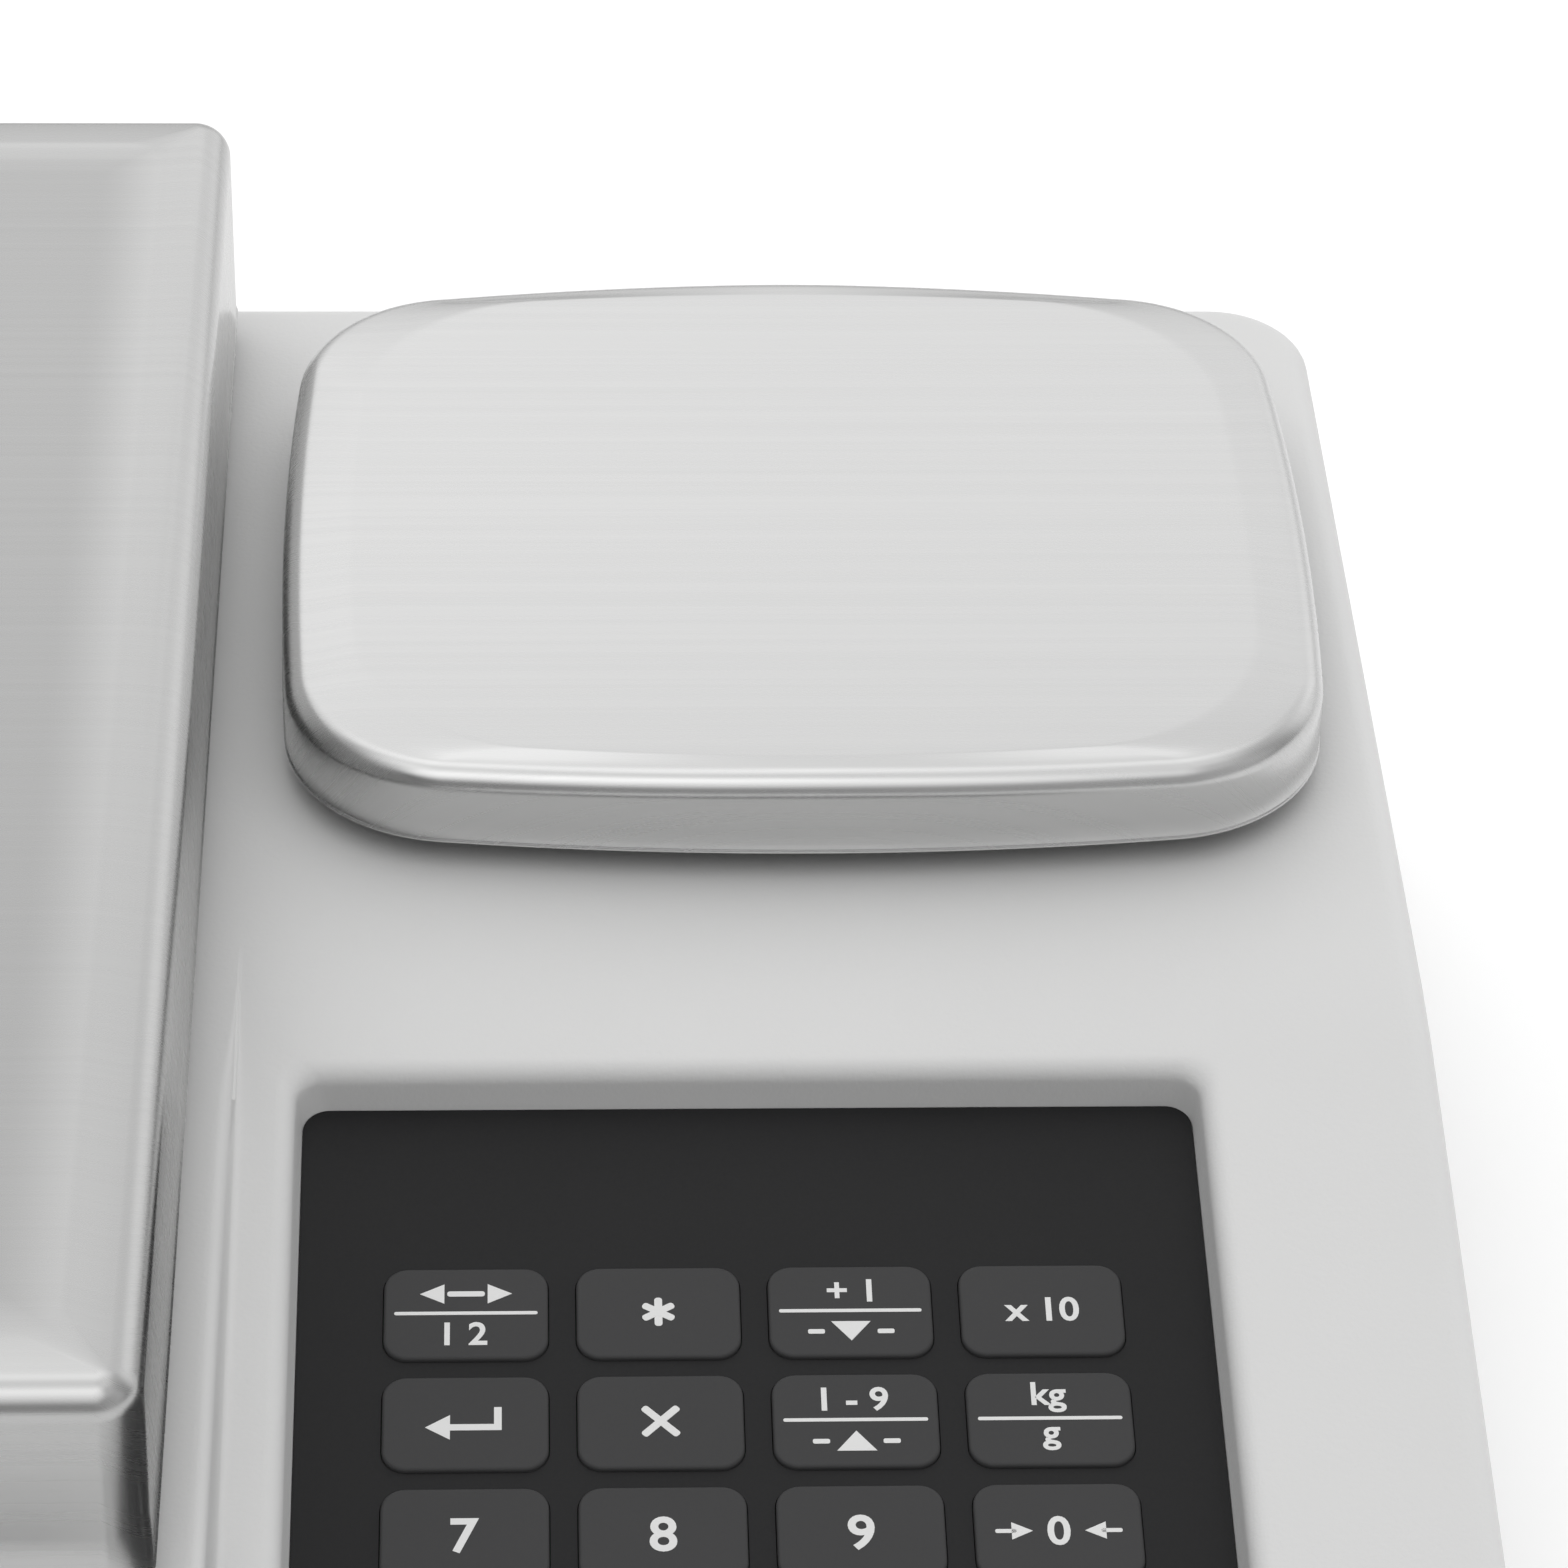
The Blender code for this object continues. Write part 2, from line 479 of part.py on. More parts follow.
# one moulded rubber frame on the carrier, with a pad at each corner for the pan
sub_seats = plan("sub_pan_seats", rounded(sx0 - 38, sy0 - 28, sx0 + 38, sy0 + 28, 4, 3), 88.4 + GAP, 90.2, RUBBER,
                 holes=[rounded(sx0 - 31, sy0 - 21, sx0 + 31, sy0 + 21, 3, 2)])
for i, (ix, iy) in enumerate(((-1, -1), (1, -1), (1, 1), (-1, 1))):
    x, y = sx0 + ix * 34, sy0 + iy * 24
    join(sub_seats, rod("sub_seat_pad_%d" % i, (x, y, 88.9), (x, y, SUB_TOP - SUB_T - GAP), 4.6, seg=16))
pan("sub_pan", bowed(sx0, sy0, *SUB_HALF, *SUB_BOW, SUB_R, 8, 4), SUB_RIM, SUB_TOP, SUB_T, 1.8)

# ------------------------------------------------------------------ keypad
def key_centre(row, col):
    return (PANEL_X0 + KEY_X0 + col * KEY_PX + KEY_W / 2, PANEL_V0 - KEY_V0 - row * KEY_PY - KEY_H / 2)


windows = []
for row in range(ROWS):
    for col in range(COLS):
        kx, kv = key_centre(row, col)
        windows.append(rounded(kx - KEY_W / 2 - GAP, kv - KEY_H / 2 - GAP, kx + KEY_W / 2 + GAP, kv + KEY_H / 2 + GAP, KEY_R + GAP, 2))
floor = -RECESS
outline("keypad_overlay", [rounded(PANEL_X0 + 0.1, PANEL_V1 + 0.1, PANEL_X1 - 0.1, PANEL_V0 - 0.1, 3.2, 3), *windows], OVERLAY_T,
        Matrix.Translation((0, 0, (floor + GAP + OVERLAY_T / 2) * MM)), FILM, console)
key_mesh = None
for row in range(ROWS):
    for col in range(COLS):
        name = "key_r%dc%d" % (row + 1, col + 1)
        kx, kv = key_centre(row, col)
        if key_mesh is None:
            obj = plan(name, rounded(-KEY_W / 2, -KEY_H / 2, KEY_W / 2, KEY_H / 2, KEY_R, 2), -1.4, 2.0, KEY, console)
            key_mesh = obj.data
        else:
            obj = bpy.data.objects.new(name, key_mesh)
            PARTS.objects.link(obj)
            obj.parent = console
        obj.location = (kx * MM, kv * MM, floor * MM)
box("keypad_board", (PANEL_X0 - 2, PANEL_V1 - 2, floor - 2.4 - GAP - 1.6), (PANEL_X1 + 2, PANEL_V0 + 2, floor - 2.4 - GAP), BOARD, console)

# ------------------------------------------------------------------ display
outline("display_window", [rounded(WIN_X0, -WIN_S1, WIN_X1, -WIN_S0, 1.0, 2)], 1.2, Matrix.Translation((0, 0, -0.6 * MM)), LENS, fascia)
box("lcd_glass", (WIN_X0 + 6, -WIN_S1 + 5, -6.2), (WIN_X1 - 6, -WIN_S0 - 5, -3.2), LCD, fascia)
board = box("display_board", (WIN_X0 - 2, -WIN_S1 - 1, -8.2), (WIN_X1 + 2, -WIN_S0 + 1, -6.6), BOARD, fascia)
join(board, rods("display_standoffs", [((x, -s, -7.4), (x, -s, -WALL - GAP), 1.8) for x in (WIN_X0, WIN_X1) for s in (WIN_S0 + 2, WIN_S1 - 2)], parent=fascia, seg=10))

# ------------------------------------------------------------------ label printer
roll_y, roll_z = ROLL_C
PLATES = ((-195.2, -193.0), (-129.0, -126.9))
plate_pts = [(-74, 15), (-74, 48), (-90, 52), (-106, 49), (-117, 39.5), (-119, 37), (-136, 31), (-136, 15)]
frame = box("printer_frame", (PLATES[0][0], -136, PART_Z), (-117.4, -74, 18.0), DARK)
for i, (x0, x1) in enumerate(PLATES):
    join(frame, side_profile("printer_plate_%d" % i, plate_pts, x0, x1))
platen_y, platen_z = fascia_point(PLATEN_S, PLATEN_D)
drive_y, drive_z = platen_y + CENTRES * math.cos(math.radians(-4)), platen_z + CENTRES * math.sin(math.radians(-4))
join(frame, side_profile("motor_flange", [(-102, 15), (-102, 56), (-114, 56), (-124, 47.5), (-126, 36), (-126, 15)], -119.6, -117.4))
for x0, x1 in ((PLATES[0][1] - 1.0, ROLL_X0 + 4.5), (ROLL_X1 - 4.5, PLATES[1][0] + 1.0)):
    join(frame, rod("roll_hub", (x0, roll_y, roll_z), (x1, roll_y, roll_z), ROLL_CORE - 0.5, seg=20))
cut(frame, rod("shaft_clearance", (-122, drive_y, drive_z), (-114, drive_y, drive_z), 2.4, seg=16))
roll = side_profile("label_roll", ring(0, 0, ROLL_R, 40), ROLL_X0, ROLL_X1, WHITE, holes=[ring(0, 0, ROLL_CORE, 20)])
roll.location = (0, roll_y * MM, roll_z * MM)

# the head sits under the platen, its face square to the line between them
nip = math.radians(180 + 70.8)         # direction from the platen to the head
head_c = (platen_y + (PLATEN_R + GAP + 1.6) * math.cos(nip), platen_z + (PLATEN_R + GAP + 1.6) * math.sin(nip))
bm = bmesh.new()
add_box(bm, (PLATES[0][1] + GAP, -6, -1.6), (PLATES[1][0] - GAP, 6, 1.6))
bmesh.ops.rotate(bm, verts=bm.verts, cent=(0, 0, 0), matrix=Matrix.Rotation(nip + math.pi / 2, 3, "X"))
head = add("print_head", bm_mesh("print_head", bm), CERAMIC)
head.location = (0, head_c[0] * MM, head_c[1] * MM)

hinge_y, hinge_z = fascia_point(HINGE_S, HINGE_D)
hinge = empty("door_axis", (0, hinge_y, hinge_z), FASCIA)


def on_door(s, d):
    return (-(s - HINGE_S), -(d - HINGE_D))


door = box("printer_door", (DOOR_X0 + 0.4, on_door(DOOR_END, 0)[0], on_door(0, 2.5)[1]), (DOOR_X1 - 0.4, on_door(HINGE_S, 0)[0], on_door(0, 0)[1]), CASE, hinge)
join(door, rod("door_barrel", (DOOR_X0 + 0.4, 0, 0), (DOOR_X1 - 0.4, 0, 0), HINGE_R, parent=hinge, seg=20))
RIBS = ((-199.6, -197.4), (-126.4, -124.4))
for i, (x0, x1) in enumerate(RIBS):
    rib = outline("door_rib_%d" % i, [[on_door(36, 1.6), on_door(49.5, 1.6), on_door(49.8, 11.5), on_door(43, 11.5)]], x1 - x0,
                  Matrix.Translation(((x0 + x1) / 2 * MM, 0, 0)) @ Matrix(((0, 0, 1, 0), (1, 0, 0, 0), (0, 1, 0, 0), (0, 0, 0, 1))), parent=hinge)
    join(door, rib)
py, pz = on_door(PLATEN_S, PLATEN_D)
cut(door, rod("pin_hole", (DOOR_X0 - 5, 0, 0), (DOOR_X1 + 5, 0, 0), 1.3, parent=hinge, seg=12),
    rod("platen_bearing", (DOOR_X0 - 5, py, pz), (DOOR_X1 + 5, py, pz), 2.5, parent=hinge, seg=16))
rod("door_hinge_pin", (DOOR_X0 - 3.6, 0, 0), (DOOR_X1 + 3.6, 0, 0), 1.0, ZINC, hinge, seg=12)

platen = side_profile("platen_roller", ring(0, 0, PLATEN_R, 24), ROLL_X0, ROLL_X1, RUBBER)
platen.location = (0, platen_y * MM, platen_z * MM)
shaft = rod("platen_shaft", (RIBS[0][0] - 0.6, 0, 0), (GEAR_X1 + 0.8, 0, 0), 2.2, seg=16)
shaft.location = platen.location
join(platen, shaft)
away = math.atan2(drive_z - platen_z, drive_y - platen_y)
tooth = side_profile("platen_gear", gear(0, 0, TEETH_PLATEN, away), GEAR_X0, GEAR_X1, GEARS, holes=[ring(0, 0, 2.5, 16)])
tooth.location = platen.location
driver = side_profile("drive_gear", gear(0, 0, TEETH_DRIVE, away + math.pi + math.pi / TEETH_DRIVE), GEAR_X0, GEAR_X1, GEARS)
driver.location = (0, drive_y * MM, drive_z * MM)
shaft = rod("drive_shaft", (GEAR_X0 + 1.5, 0, 0), (-115.6, 0, 0), 1.5, seg=12)
shaft.location = driver.location
join(driver, shaft)
motor = rod("feed_motor", (-117.1, 0, 0), (-101.0, 0, 0), 9.5, ZINC, seg=28)
motor.location = driver.location
motor_bore = rod("motor_bore", (-119.0, 0, 0), (-114.8, 0, 0), 1.9, seg=12)
motor_bore.location = driver.location
cut(motor, motor_bore)

feed = rod("feed_button", (FEED[0], -FEED[1], -5.2), (FEED[0], -FEED[1], 0.8), 4.4, DARK, fascia, seg=20)
join(feed, rod("feed_collar", (FEED[0], -FEED[1], -5.2), (FEED[0], -FEED[1], -WALL - 0.5), 6.2, parent=fascia, seg=20))

# ------------------------------------------------------------------ power and electronics
box("battery", (10, 42, PART_Z), (58, 112, 64), BATTERY, bevel=1.5)
pcb = box("main_board", (-204, -30, 20), (-146, 96, 21.6), BOARD)
join(pcb, rods("board_standoffs", [((x, y, PART_Z), (x, y, 20.8), 2.2) for x in (-200, -150) for y in (-26, 92)], seg=10),
     box("heat_sink", (-198, 60, 21), (-160, 80, 40)))
inlet = box("power_inlet", (INLET[0] - 14, HALF_Y - 24, INLET[1] - 10), (INLET[0] + 14, HALF_Y - 0.4, INLET[1] + 10), DARK)
cut(inlet, plan("inlet_cavity", [(x, y) for x, y in ((-11.5, -7), (11.5, -7), (11.5, 3.5), (8, 7), (-8, 7), (-11.5, 3.5))], -9, 9))
bpy.data.objects["inlet_cavity"].rotation_euler = (math.pi / 2, 0, 0)
bpy.data.objects["inlet_cavity"].location = (INLET[0] * MM, (HALF_Y - 9) * MM, INLET[1] * MM)
join(inlet, boxes("inlet_pins", [((INLET[0] + i * 6.5 - 1, HALF_Y - 20, INLET[1] - 2 + (2.6 if i == 0 else 0)), (INLET[0] + i * 6.5 + 1, HALF_Y - 6, INLET[1] + 2 + (2.6 if i == 0 else 0)))
                                for i in (-1, 0, 1)]))
# the rocker turns about a vertical axis inside the right wall
rocker = plan("power_switch", [(-1.5, 9.6), (-5.2, 9.6), (-8.5, 3.0), (-8.5, -3.0), (-8.0, -9.6), (-4.4, -9.6), (0.2, 0.0)], -6.2, 6.2, DARK)
rocker.location = ((HALF_X - 1.0) * MM, SWITCH[0] * MM, SWITCH[1] * MM)
turned("bubble_level", [(0, 81.2), (6.6, 81.2), (7.6, 80.4), (7.9, 79.6), (7.9, 71), (0, 71)], (LEVEL[0], LEVEL[1], 0), CLEAR, 20)

for obj in PARTS.objects:
    obj.data.shade_smooth()
    obj.data.set_sharp_from_angle(angle=math.radians(35))
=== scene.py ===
# Looks of a label printing counting scale: moulded casing, two brushed pans, keypad,
# display, label printer bay, feet and power fittings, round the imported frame.
# Sizes are in millimetres in the helpers and are turned into metres when vertices are made.
import math

import bmesh
import bpy
from mathutils import Matrix, Vector


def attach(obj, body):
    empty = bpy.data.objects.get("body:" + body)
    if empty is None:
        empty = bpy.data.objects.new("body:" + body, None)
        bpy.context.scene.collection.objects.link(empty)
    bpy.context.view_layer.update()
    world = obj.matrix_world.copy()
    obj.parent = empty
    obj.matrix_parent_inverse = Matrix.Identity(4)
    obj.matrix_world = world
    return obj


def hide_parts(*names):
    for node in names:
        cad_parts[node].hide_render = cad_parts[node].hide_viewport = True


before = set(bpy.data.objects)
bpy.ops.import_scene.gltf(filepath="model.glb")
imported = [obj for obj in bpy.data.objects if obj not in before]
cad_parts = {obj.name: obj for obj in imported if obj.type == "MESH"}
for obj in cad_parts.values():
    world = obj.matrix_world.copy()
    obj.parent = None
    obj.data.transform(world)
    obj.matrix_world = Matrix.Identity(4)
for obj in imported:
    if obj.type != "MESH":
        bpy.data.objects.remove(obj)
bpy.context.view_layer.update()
scene = bpy.context.scene
MM = 0.001
PI = math.pi

# ---------------------------------------------------------------- sizes that the frame uses
HALF_X, HALF_Y, CORNER = 215.0, 145.0, 12.0
DECK, PART_Z, WALL = 80.0, 14.0, 2.6
STEP_X = 83.25
SLOPE_Y, SLOPE = 5.1, math.radians(8.63)
FASCIA_Y, FASCIA, FASCIA_END = -96.0, math.radians(40.8), -142.0
PX0, PX1, PV0, PV1 = 90.66, 187.72, -11.02, -125.4      # floor of the keypad recess
RECESS, LIP, WALL_Q, RECESS_R = 7.0, 2.3, 0.75, 3.0
FILM_TOP, KEY_TOP = -5.5, -5.0
EDGE = 3.0                                           # fillet round the casing's top edge

CONSOLE = Matrix.Translation((0, SLOPE_Y * MM, DECK * MM)) @ Matrix.Rotation(SLOPE, 4, "X")
FRONT = Matrix.Translation((0, FASCIA_Y * MM, DECK * MM)) @ Matrix.Rotation(FASCIA, 4, "X")


# ---------------------------------------------------------------- mesh helpers
def rounded(x0, y0, x1, y1, r, n):
    r = max(r, 0.02)
    points = []
    for cx, cy, start in ((x1 - r, y1 - r, 0), (x0 + r, y1 - r, 90), (x0 + r, y0 + r, 180), (x1 - r, y0 + r, 270)):
        for i in range(n + 1):
            a = math.radians(start + 90 * i / n)
            points.append((cx + r * math.cos(a), cy + r * math.sin(a)))
    return points


def rect(x0, y0, x1, y1, r, n=6):
    """A rounded rectangle as a function of how far it is moved in."""
    return lambda i: rounded(x0 + i, y0 + i, x1 - i, y1 - i, r - i, n)


def disc(cx, cy, r, n=48):
    return lambda i: [(cx + (r - i) * math.cos(2 * PI * k / n), cy + (r - i) * math.sin(2 * PI * k / n)) for k in range(n)]


def at(points, z):
    return [(x, y, z) for x, y in points]


def loft(bm, loops, ends=True):
    rings = [[bm.verts.new((x * MM, y * MM, z * MM)) for x, y, z in loop] for loop in loops]
    n = len(rings[0])
    for a, b in zip(rings, rings[1:]):
        for i in range(n):
            j = (i + 1) % n
            bm.faces.new((a[i], a[j], b[j], b[i]))
    if ends:
        bm.faces.new(list(reversed(rings[0])))
        bm.faces.new(rings[-1])
    return rings


def slab(bm, shape, z0, z1, top=0.4, bottom=0.2, n=5):
    """A plate with rounded upper and lower edges, from a function that gives its outline moved in."""
    loops = []
    if bottom > 0:
        loops.append(at(shape(bottom + 0.12), z0))
        for k in range(n + 1):
            a = k / n * PI / 2
            loops.append(at(shape(bottom * (1 - math.sin(a))), z0 + bottom * (1 - math.cos(a))))
    else:
        loops.append(at(shape(0), z0))
    if top > 0:
        for k in range(n + 1):
            a = k / n * PI / 2
            loops.append(at(shape(top * (1 - math.cos(a))), z1 - top * (1 - math.sin(a))))
        loops.append(at(shape(top + 0.12), z1))
    else:
        loops.append(at(shape(0), z1))
    loft(bm, loops)


def prism(bm, points, z0, z1):
    loft(bm, [at(points, z0), at(points, z1)])


def lathe(bm, profile, n=48, centre=(0, 0)):
    """A closed turned body from (radius, height) pairs that start and end on the axis."""
    cx, cy = centre
    rings = []
    for r, z in profile:
        if r < 1e-6:
            rings.append([bm.verts.new((cx * MM, cy * MM, z * MM))])
        else:
            rings.append([bm.verts.new(((cx + r * math.cos(2 * PI * k / n)) * MM, (cy + r * math.sin(2 * PI * k / n)) * MM, z * MM)) for k in range(n)])
    for a, b in zip(rings, rings[1:]):
        for k in range(n):
            j = (k + 1) % n
            if len(a) == 1:
                bm.faces.new((a[0], b[j], b[k]))
            elif len(b) == 1:
                bm.faces.new((a[k], a[j], b[0]))
            else:
                bm.faces.new((a[k], a[j], b[j], b[k]))


def box(bm, lo, hi):
    prism(bm, [(lo[0], lo[1]), (hi[0], lo[1]), (hi[0], hi[1]), (lo[0], hi[1])], lo[2], hi[2])


def tube(bm, a, b, r, n=32, r2=None):
    a, b = Vector(a) * MM, Vector(b) * MM
    way = b - a
    turn = Vector((0, 0, 1)).rotation_difference(way.normalized()).to_matrix().to_4x4()
    bmesh.ops.create_cone(bm, cap_ends=True, segments=n, radius1=r * MM, radius2=(r if r2 is None else r2) * MM,
                          depth=way.length, matrix=Matrix.Translation((a + b) / 2) @ turn)


def side(bm, points, x0, x1):
    """A profile in the YZ plane, from x0 to x1."""
    loft(bm, [[(x0, y, z) for y, z in points], [(x1, y, z) for y, z in points]])


def put(bm, matrix):
    bmesh.ops.transform(bm, matrix=matrix, verts=bm.verts)


def clean(bm):
    bmesh.ops.remove_doubles(bm, verts=bm.verts, dist=1e-7)
    bmesh.ops.recalc_face_normals(bm, faces=bm.faces)


def raw(name, bm):
    """A plain mesh object that is not a piece yet."""
    clean(bm)
    mesh = bpy.data.meshes.new(name)
    bm.to_mesh(mesh)
    bm.free()
    obj = bpy.data.objects.new(name, mesh)
    scene.collection.objects.link(obj)
    return obj


def made(build, *args, **kw):
    bm = bmesh.new()
    build(bm, *args, **kw)
    return bm


def carve(obj, others, how="DIFFERENCE", solver="MANIFOLD"):
    for other in others:
        m = obj.modifiers.new("cut", "BOOLEAN")
        m.operation, m.solver, m.object = how, solver, other
    bpy.context.view_layer.update()
    mesh = bpy.data.meshes.new_from_object(obj.evaluated_get(bpy.context.evaluated_depsgraph_get()))
    obj.modifiers.clear()
    obj.data = mesh
    for other in others:
        bpy.data.objects.remove(other, do_unlink=True)
    return obj


def piece(obj, mats, body, nodes=(), sharp=32.0):
    """Gives an object its finish and hangs it on its body."""
    if not isinstance(obj, bpy.types.Object):
        raise TypeError("piece() takes an object")
    obj.data.materials.clear()
    for m in mats if isinstance(mats, (list, tuple)) else [mats]:
        obj.data.materials.append(m)
    obj.data.shade_smooth()
    obj.data.set_sharp_from_angle(angle=math.radians(sharp))
    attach(obj, body)
    if nodes:
        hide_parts(*nodes)
    return obj


def outline(name, loops, z0, z1):
    """A flat plate with holes, from outlines."""
    curve = bpy.data.curves.new(name, "CURVE")
    curve.dimensions = "2D"
    curve.fill_mode = "BOTH"
    curve.extrude = (z1 - z0) * MM / 2
    for pts in loops:
        spline = curve.splines.new("POLY")
        spline.points.add(len(pts) - 1)
        for p, (x, y) in zip(spline.points, pts):
            p.co = (x * MM, y * MM, 0.0, 1.0)
        spline.use_cyclic_u = True
    return from_curve(name, curve, (z0 + z1) / 2)


def from_curve(name, curve, z):
    holder = bpy.data.objects.new(name + "_c", curve)
    scene.collection.objects.link(holder)
    bpy.context.view_layer.update()
    mesh = bpy.data.meshes.new_from_object(holder.evaluated_get(bpy.context.evaluated_depsgraph_get()))
    bpy.data.objects.remove(holder, do_unlink=True)
    bm = bmesh.new()
    bm.from_mesh(mesh)
    bpy.data.meshes.remove(mesh)
    bmesh.ops.remove_doubles(bm, verts=bm.verts, dist=2e-7)
    bmesh.ops.translate(bm, verts=bm.verts, vec=(0, 0, z * MM))
    return bm


def text(body, size, z0, z1, bold=0.018, centre=(0.0, 0.0), squeeze=1.0):
    """Plain figures as thin solid print, centred on a point."""
    curve = bpy.data.curves.new("figures", "FONT")
    curve.body = body
    curve.size = size * MM
    curve.align_x, curve.align_y = "CENTER", "CENTER"
    curve.extrude = (z1 - z0) * MM / 2
    curve.offset = bold * size * MM
    curve.resolution_u = 5
    bm = from_curve("figures", curve, (z0 + z1) / 2)
    xs, ys = [v.co.x for v in bm.verts], [v.co.y for v in bm.verts]
    mid = Vector(((min(xs) + max(xs)) / 2, (min(ys) + max(ys)) / 2, 0))
    bmesh.ops.translate(bm, verts=bm.verts, vec=-mid)
    bmesh.ops.scale(bm, verts=bm.verts, vec=(squeeze, 1, 1))
    bmesh.ops.translate(bm, verts=bm.verts, vec=Vector((centre[0] * MM, centre[1] * MM, 0)))
    return bm


def merge(bm, other):
    mesh = bpy.data.meshes.new("tmp")
    other.to_mesh(mesh)
    other.free()
    bm.from_mesh(mesh)
    bpy.data.meshes.remove(mesh)
    return bm


# ---------------------------------------------------------------- materials
def shader(name, rgb, rough, metal=0.0, **sockets):
    m = bpy.data.materials.new(name)
    m.use_nodes = True
    b = m.node_tree.nodes["Principled BSDF"]
    b.inputs["Base Color"].default_value = (*rgb, 1.0)
    b.inputs["Roughness"].default_value = rough
    b.inputs["Metallic"].default_value = metal
    for key, value in sockets.items():
        b.inputs[key.replace("_", " ")].default_value = value
    return m, m.node_tree, b


def node(nt, kind, **values):
    n = nt.nodes.new(kind)
    for key, value in values.items():
        if key in n.inputs:
            n.inputs[key].default_value = value
        else:
            setattr(n, key, value)
    return n


def place(nt, scale, source="Object"):
    coord = node(nt, "ShaderNodeTexCoord")
    mapping = node(nt, "ShaderNodeMapping")
    mapping.inputs["Scale"].default_value = scale
    nt.links.new(coord.outputs[source], mapping.inputs["Vector"])
    return mapping.outputs["Vector"]


def noise(nt, vector, scale, detail=2.0, rough=0.5):
    n = node(nt, "ShaderNodeTexNoise")
    n.inputs["Scale"].default_value = scale
    n.inputs["Detail"].default_value = detail
    n.inputs["Roughness"].default_value = rough
    nt.links.new(vector, n.inputs["Vector"])
    return n.outputs["Fac"]


def ramp(nt, value, stops):
    r = node(nt, "ShaderNodeValToRGB")
    nt.links.new(value, r.inputs["Fac"])
    el = r.color_ramp.elements
    while len(el) < len(stops):
        el.new(0.5)
    for e, (pos, c) in zip(el, stops):
        e.position = pos
        e.color = (*(c if isinstance(c, tuple) else (c, c, c)), 1.0)
    return r.outputs["Color"]


def bump(nt, b, value, strength, distance):
    n = node(nt, "ShaderNodeBump")
    n.inputs["Strength"].default_value = strength
    n.inputs["Distance"].default_value = distance
    nt.links.new(value, n.inputs["Height"])
    nt.links.new(n.outputs["Normal"], b.inputs["Normal"])


def grained(name, rgb, rough, spread, grain, depth, spec=0.4, metal=0.0, wander=0.04, **sockets):
    """A moulded or cast surface: fine grain in the relief, slow wander in the tone, mottled gloss."""
    m, nt, b = shader(name, rgb, rough, metal, Specular_IOR_Level=spec, **sockets)
    v = place(nt, (1, 1, 1))
    fine = noise(nt, v, grain, 3.0, 0.6)
    slow = noise(nt, v, 22.0, 3.0, 0.55)
    lo = tuple(c * (1 - wander) for c in rgb)
    hi = tuple(min(1.0, c * (1 + wander)) for c in rgb)
    nt.links.new(ramp(nt, slow, [(0.3, lo), (0.7, hi)]), b.inputs["Base Color"])
    nt.links.new(ramp(nt, fine, [(0.3, max(0.02, rough - spread)), (0.7, min(1.0, rough + spread))]), b.inputs["Roughness"])
    bump(nt, b, fine, 0.6, depth * MM)
    return m


def brushed(name, rgb, rough, spread, along, across, depth, painted_edge_sheen=None):
    """Steel sheet with fine lines along the sheet's own first direction; if asked, a painted sheen makes its colour
    lighter towards its edge.
    """
    m, nt, b = shader(name, rgb, rough, 1.0)
    v = place(nt, (along, across, 1.0), "UV")
    lines = noise(nt, v, 1.0, 4.0, 0.6)
    broad = noise(nt, place(nt, (along * 0.5, across * 0.16, 1.0), "UV"), 1.0, 2.0, 0.5)
    mix = node(nt, "ShaderNodeMath", operation="ADD")
    nt.links.new(lines, mix.inputs[0])
    nt.links.new(broad, mix.inputs[1])
    half = node(nt, "ShaderNodeMath", operation="MULTIPLY")
    half.inputs[1].default_value = 0.5
    nt.links.new(mix.outputs[0], half.inputs[0])
    lo = tuple(c * 0.985 for c in rgb)
    hi = tuple(min(1.0, c * 1.015) for c in rgb)
    tone = ramp(nt, half.outputs[0], [(0.36, lo), (0.64, hi)])
    # painted sheen: the steel's colour is scaled up towards the edge of the given rectangle, a painted highlight along
    # the pan's edge band
    if painted_edge_sheen:
        centre, size, wide, narrow, sheen_gain = painted_edge_sheen
        coord = node(nt, "ShaderNodeTexCoord")
        shift = node(nt, "ShaderNodeVectorMath", operation="SUBTRACT")
        shift.inputs[1].default_value = (centre[0] * MM, centre[1] * MM, 0)
        nt.links.new(coord.outputs["Object"], shift.inputs[0])
        away = node(nt, "ShaderNodeVectorMath", operation="ABSOLUTE")
        nt.links.new(shift.outputs[0], away.inputs[0])
        room = node(nt, "ShaderNodeVectorMath", operation="SUBTRACT")
        room.inputs[0].default_value = (size[0] * MM, size[1] * MM, 0)
        nt.links.new(away.outputs[0], room.inputs[1])
        parts = node(nt, "ShaderNodeSeparateXYZ")
        nt.links.new(room.outputs[0], parts.inputs[0])
        least = node(nt, "ShaderNodeMath", operation="MINIMUM")
        nt.links.new(parts.outputs[0], least.inputs[0])
        nt.links.new(parts.outputs[1], least.inputs[1])
        rise = node(nt, "ShaderNodeMapRange", interpolation_type="SMOOTHSTEP")
        for key, value in (("From Min", narrow * MM), ("From Max", wide * MM), ("To Min", sheen_gain), ("To Max", 1.0)):
            rise.inputs[key].default_value = value
        nt.links.new(least.outputs[0], rise.inputs["Value"])
        scale = node(nt, "ShaderNodeVectorMath", operation="SCALE")
        nt.links.new(tone, scale.inputs[0])
        nt.links.new(rise.outputs["Result"], scale.inputs["Scale"])
        tone = scale.outputs[0]
    nt.links.new(tone, b.inputs["Base Color"])
    nt.links.new(ramp(nt, half.outputs[0], [(0.35, rough + spread), (0.65, rough - spread)]), b.inputs["Roughness"])
    bump(nt, b, lines, 0.35, depth * MM)
    return m


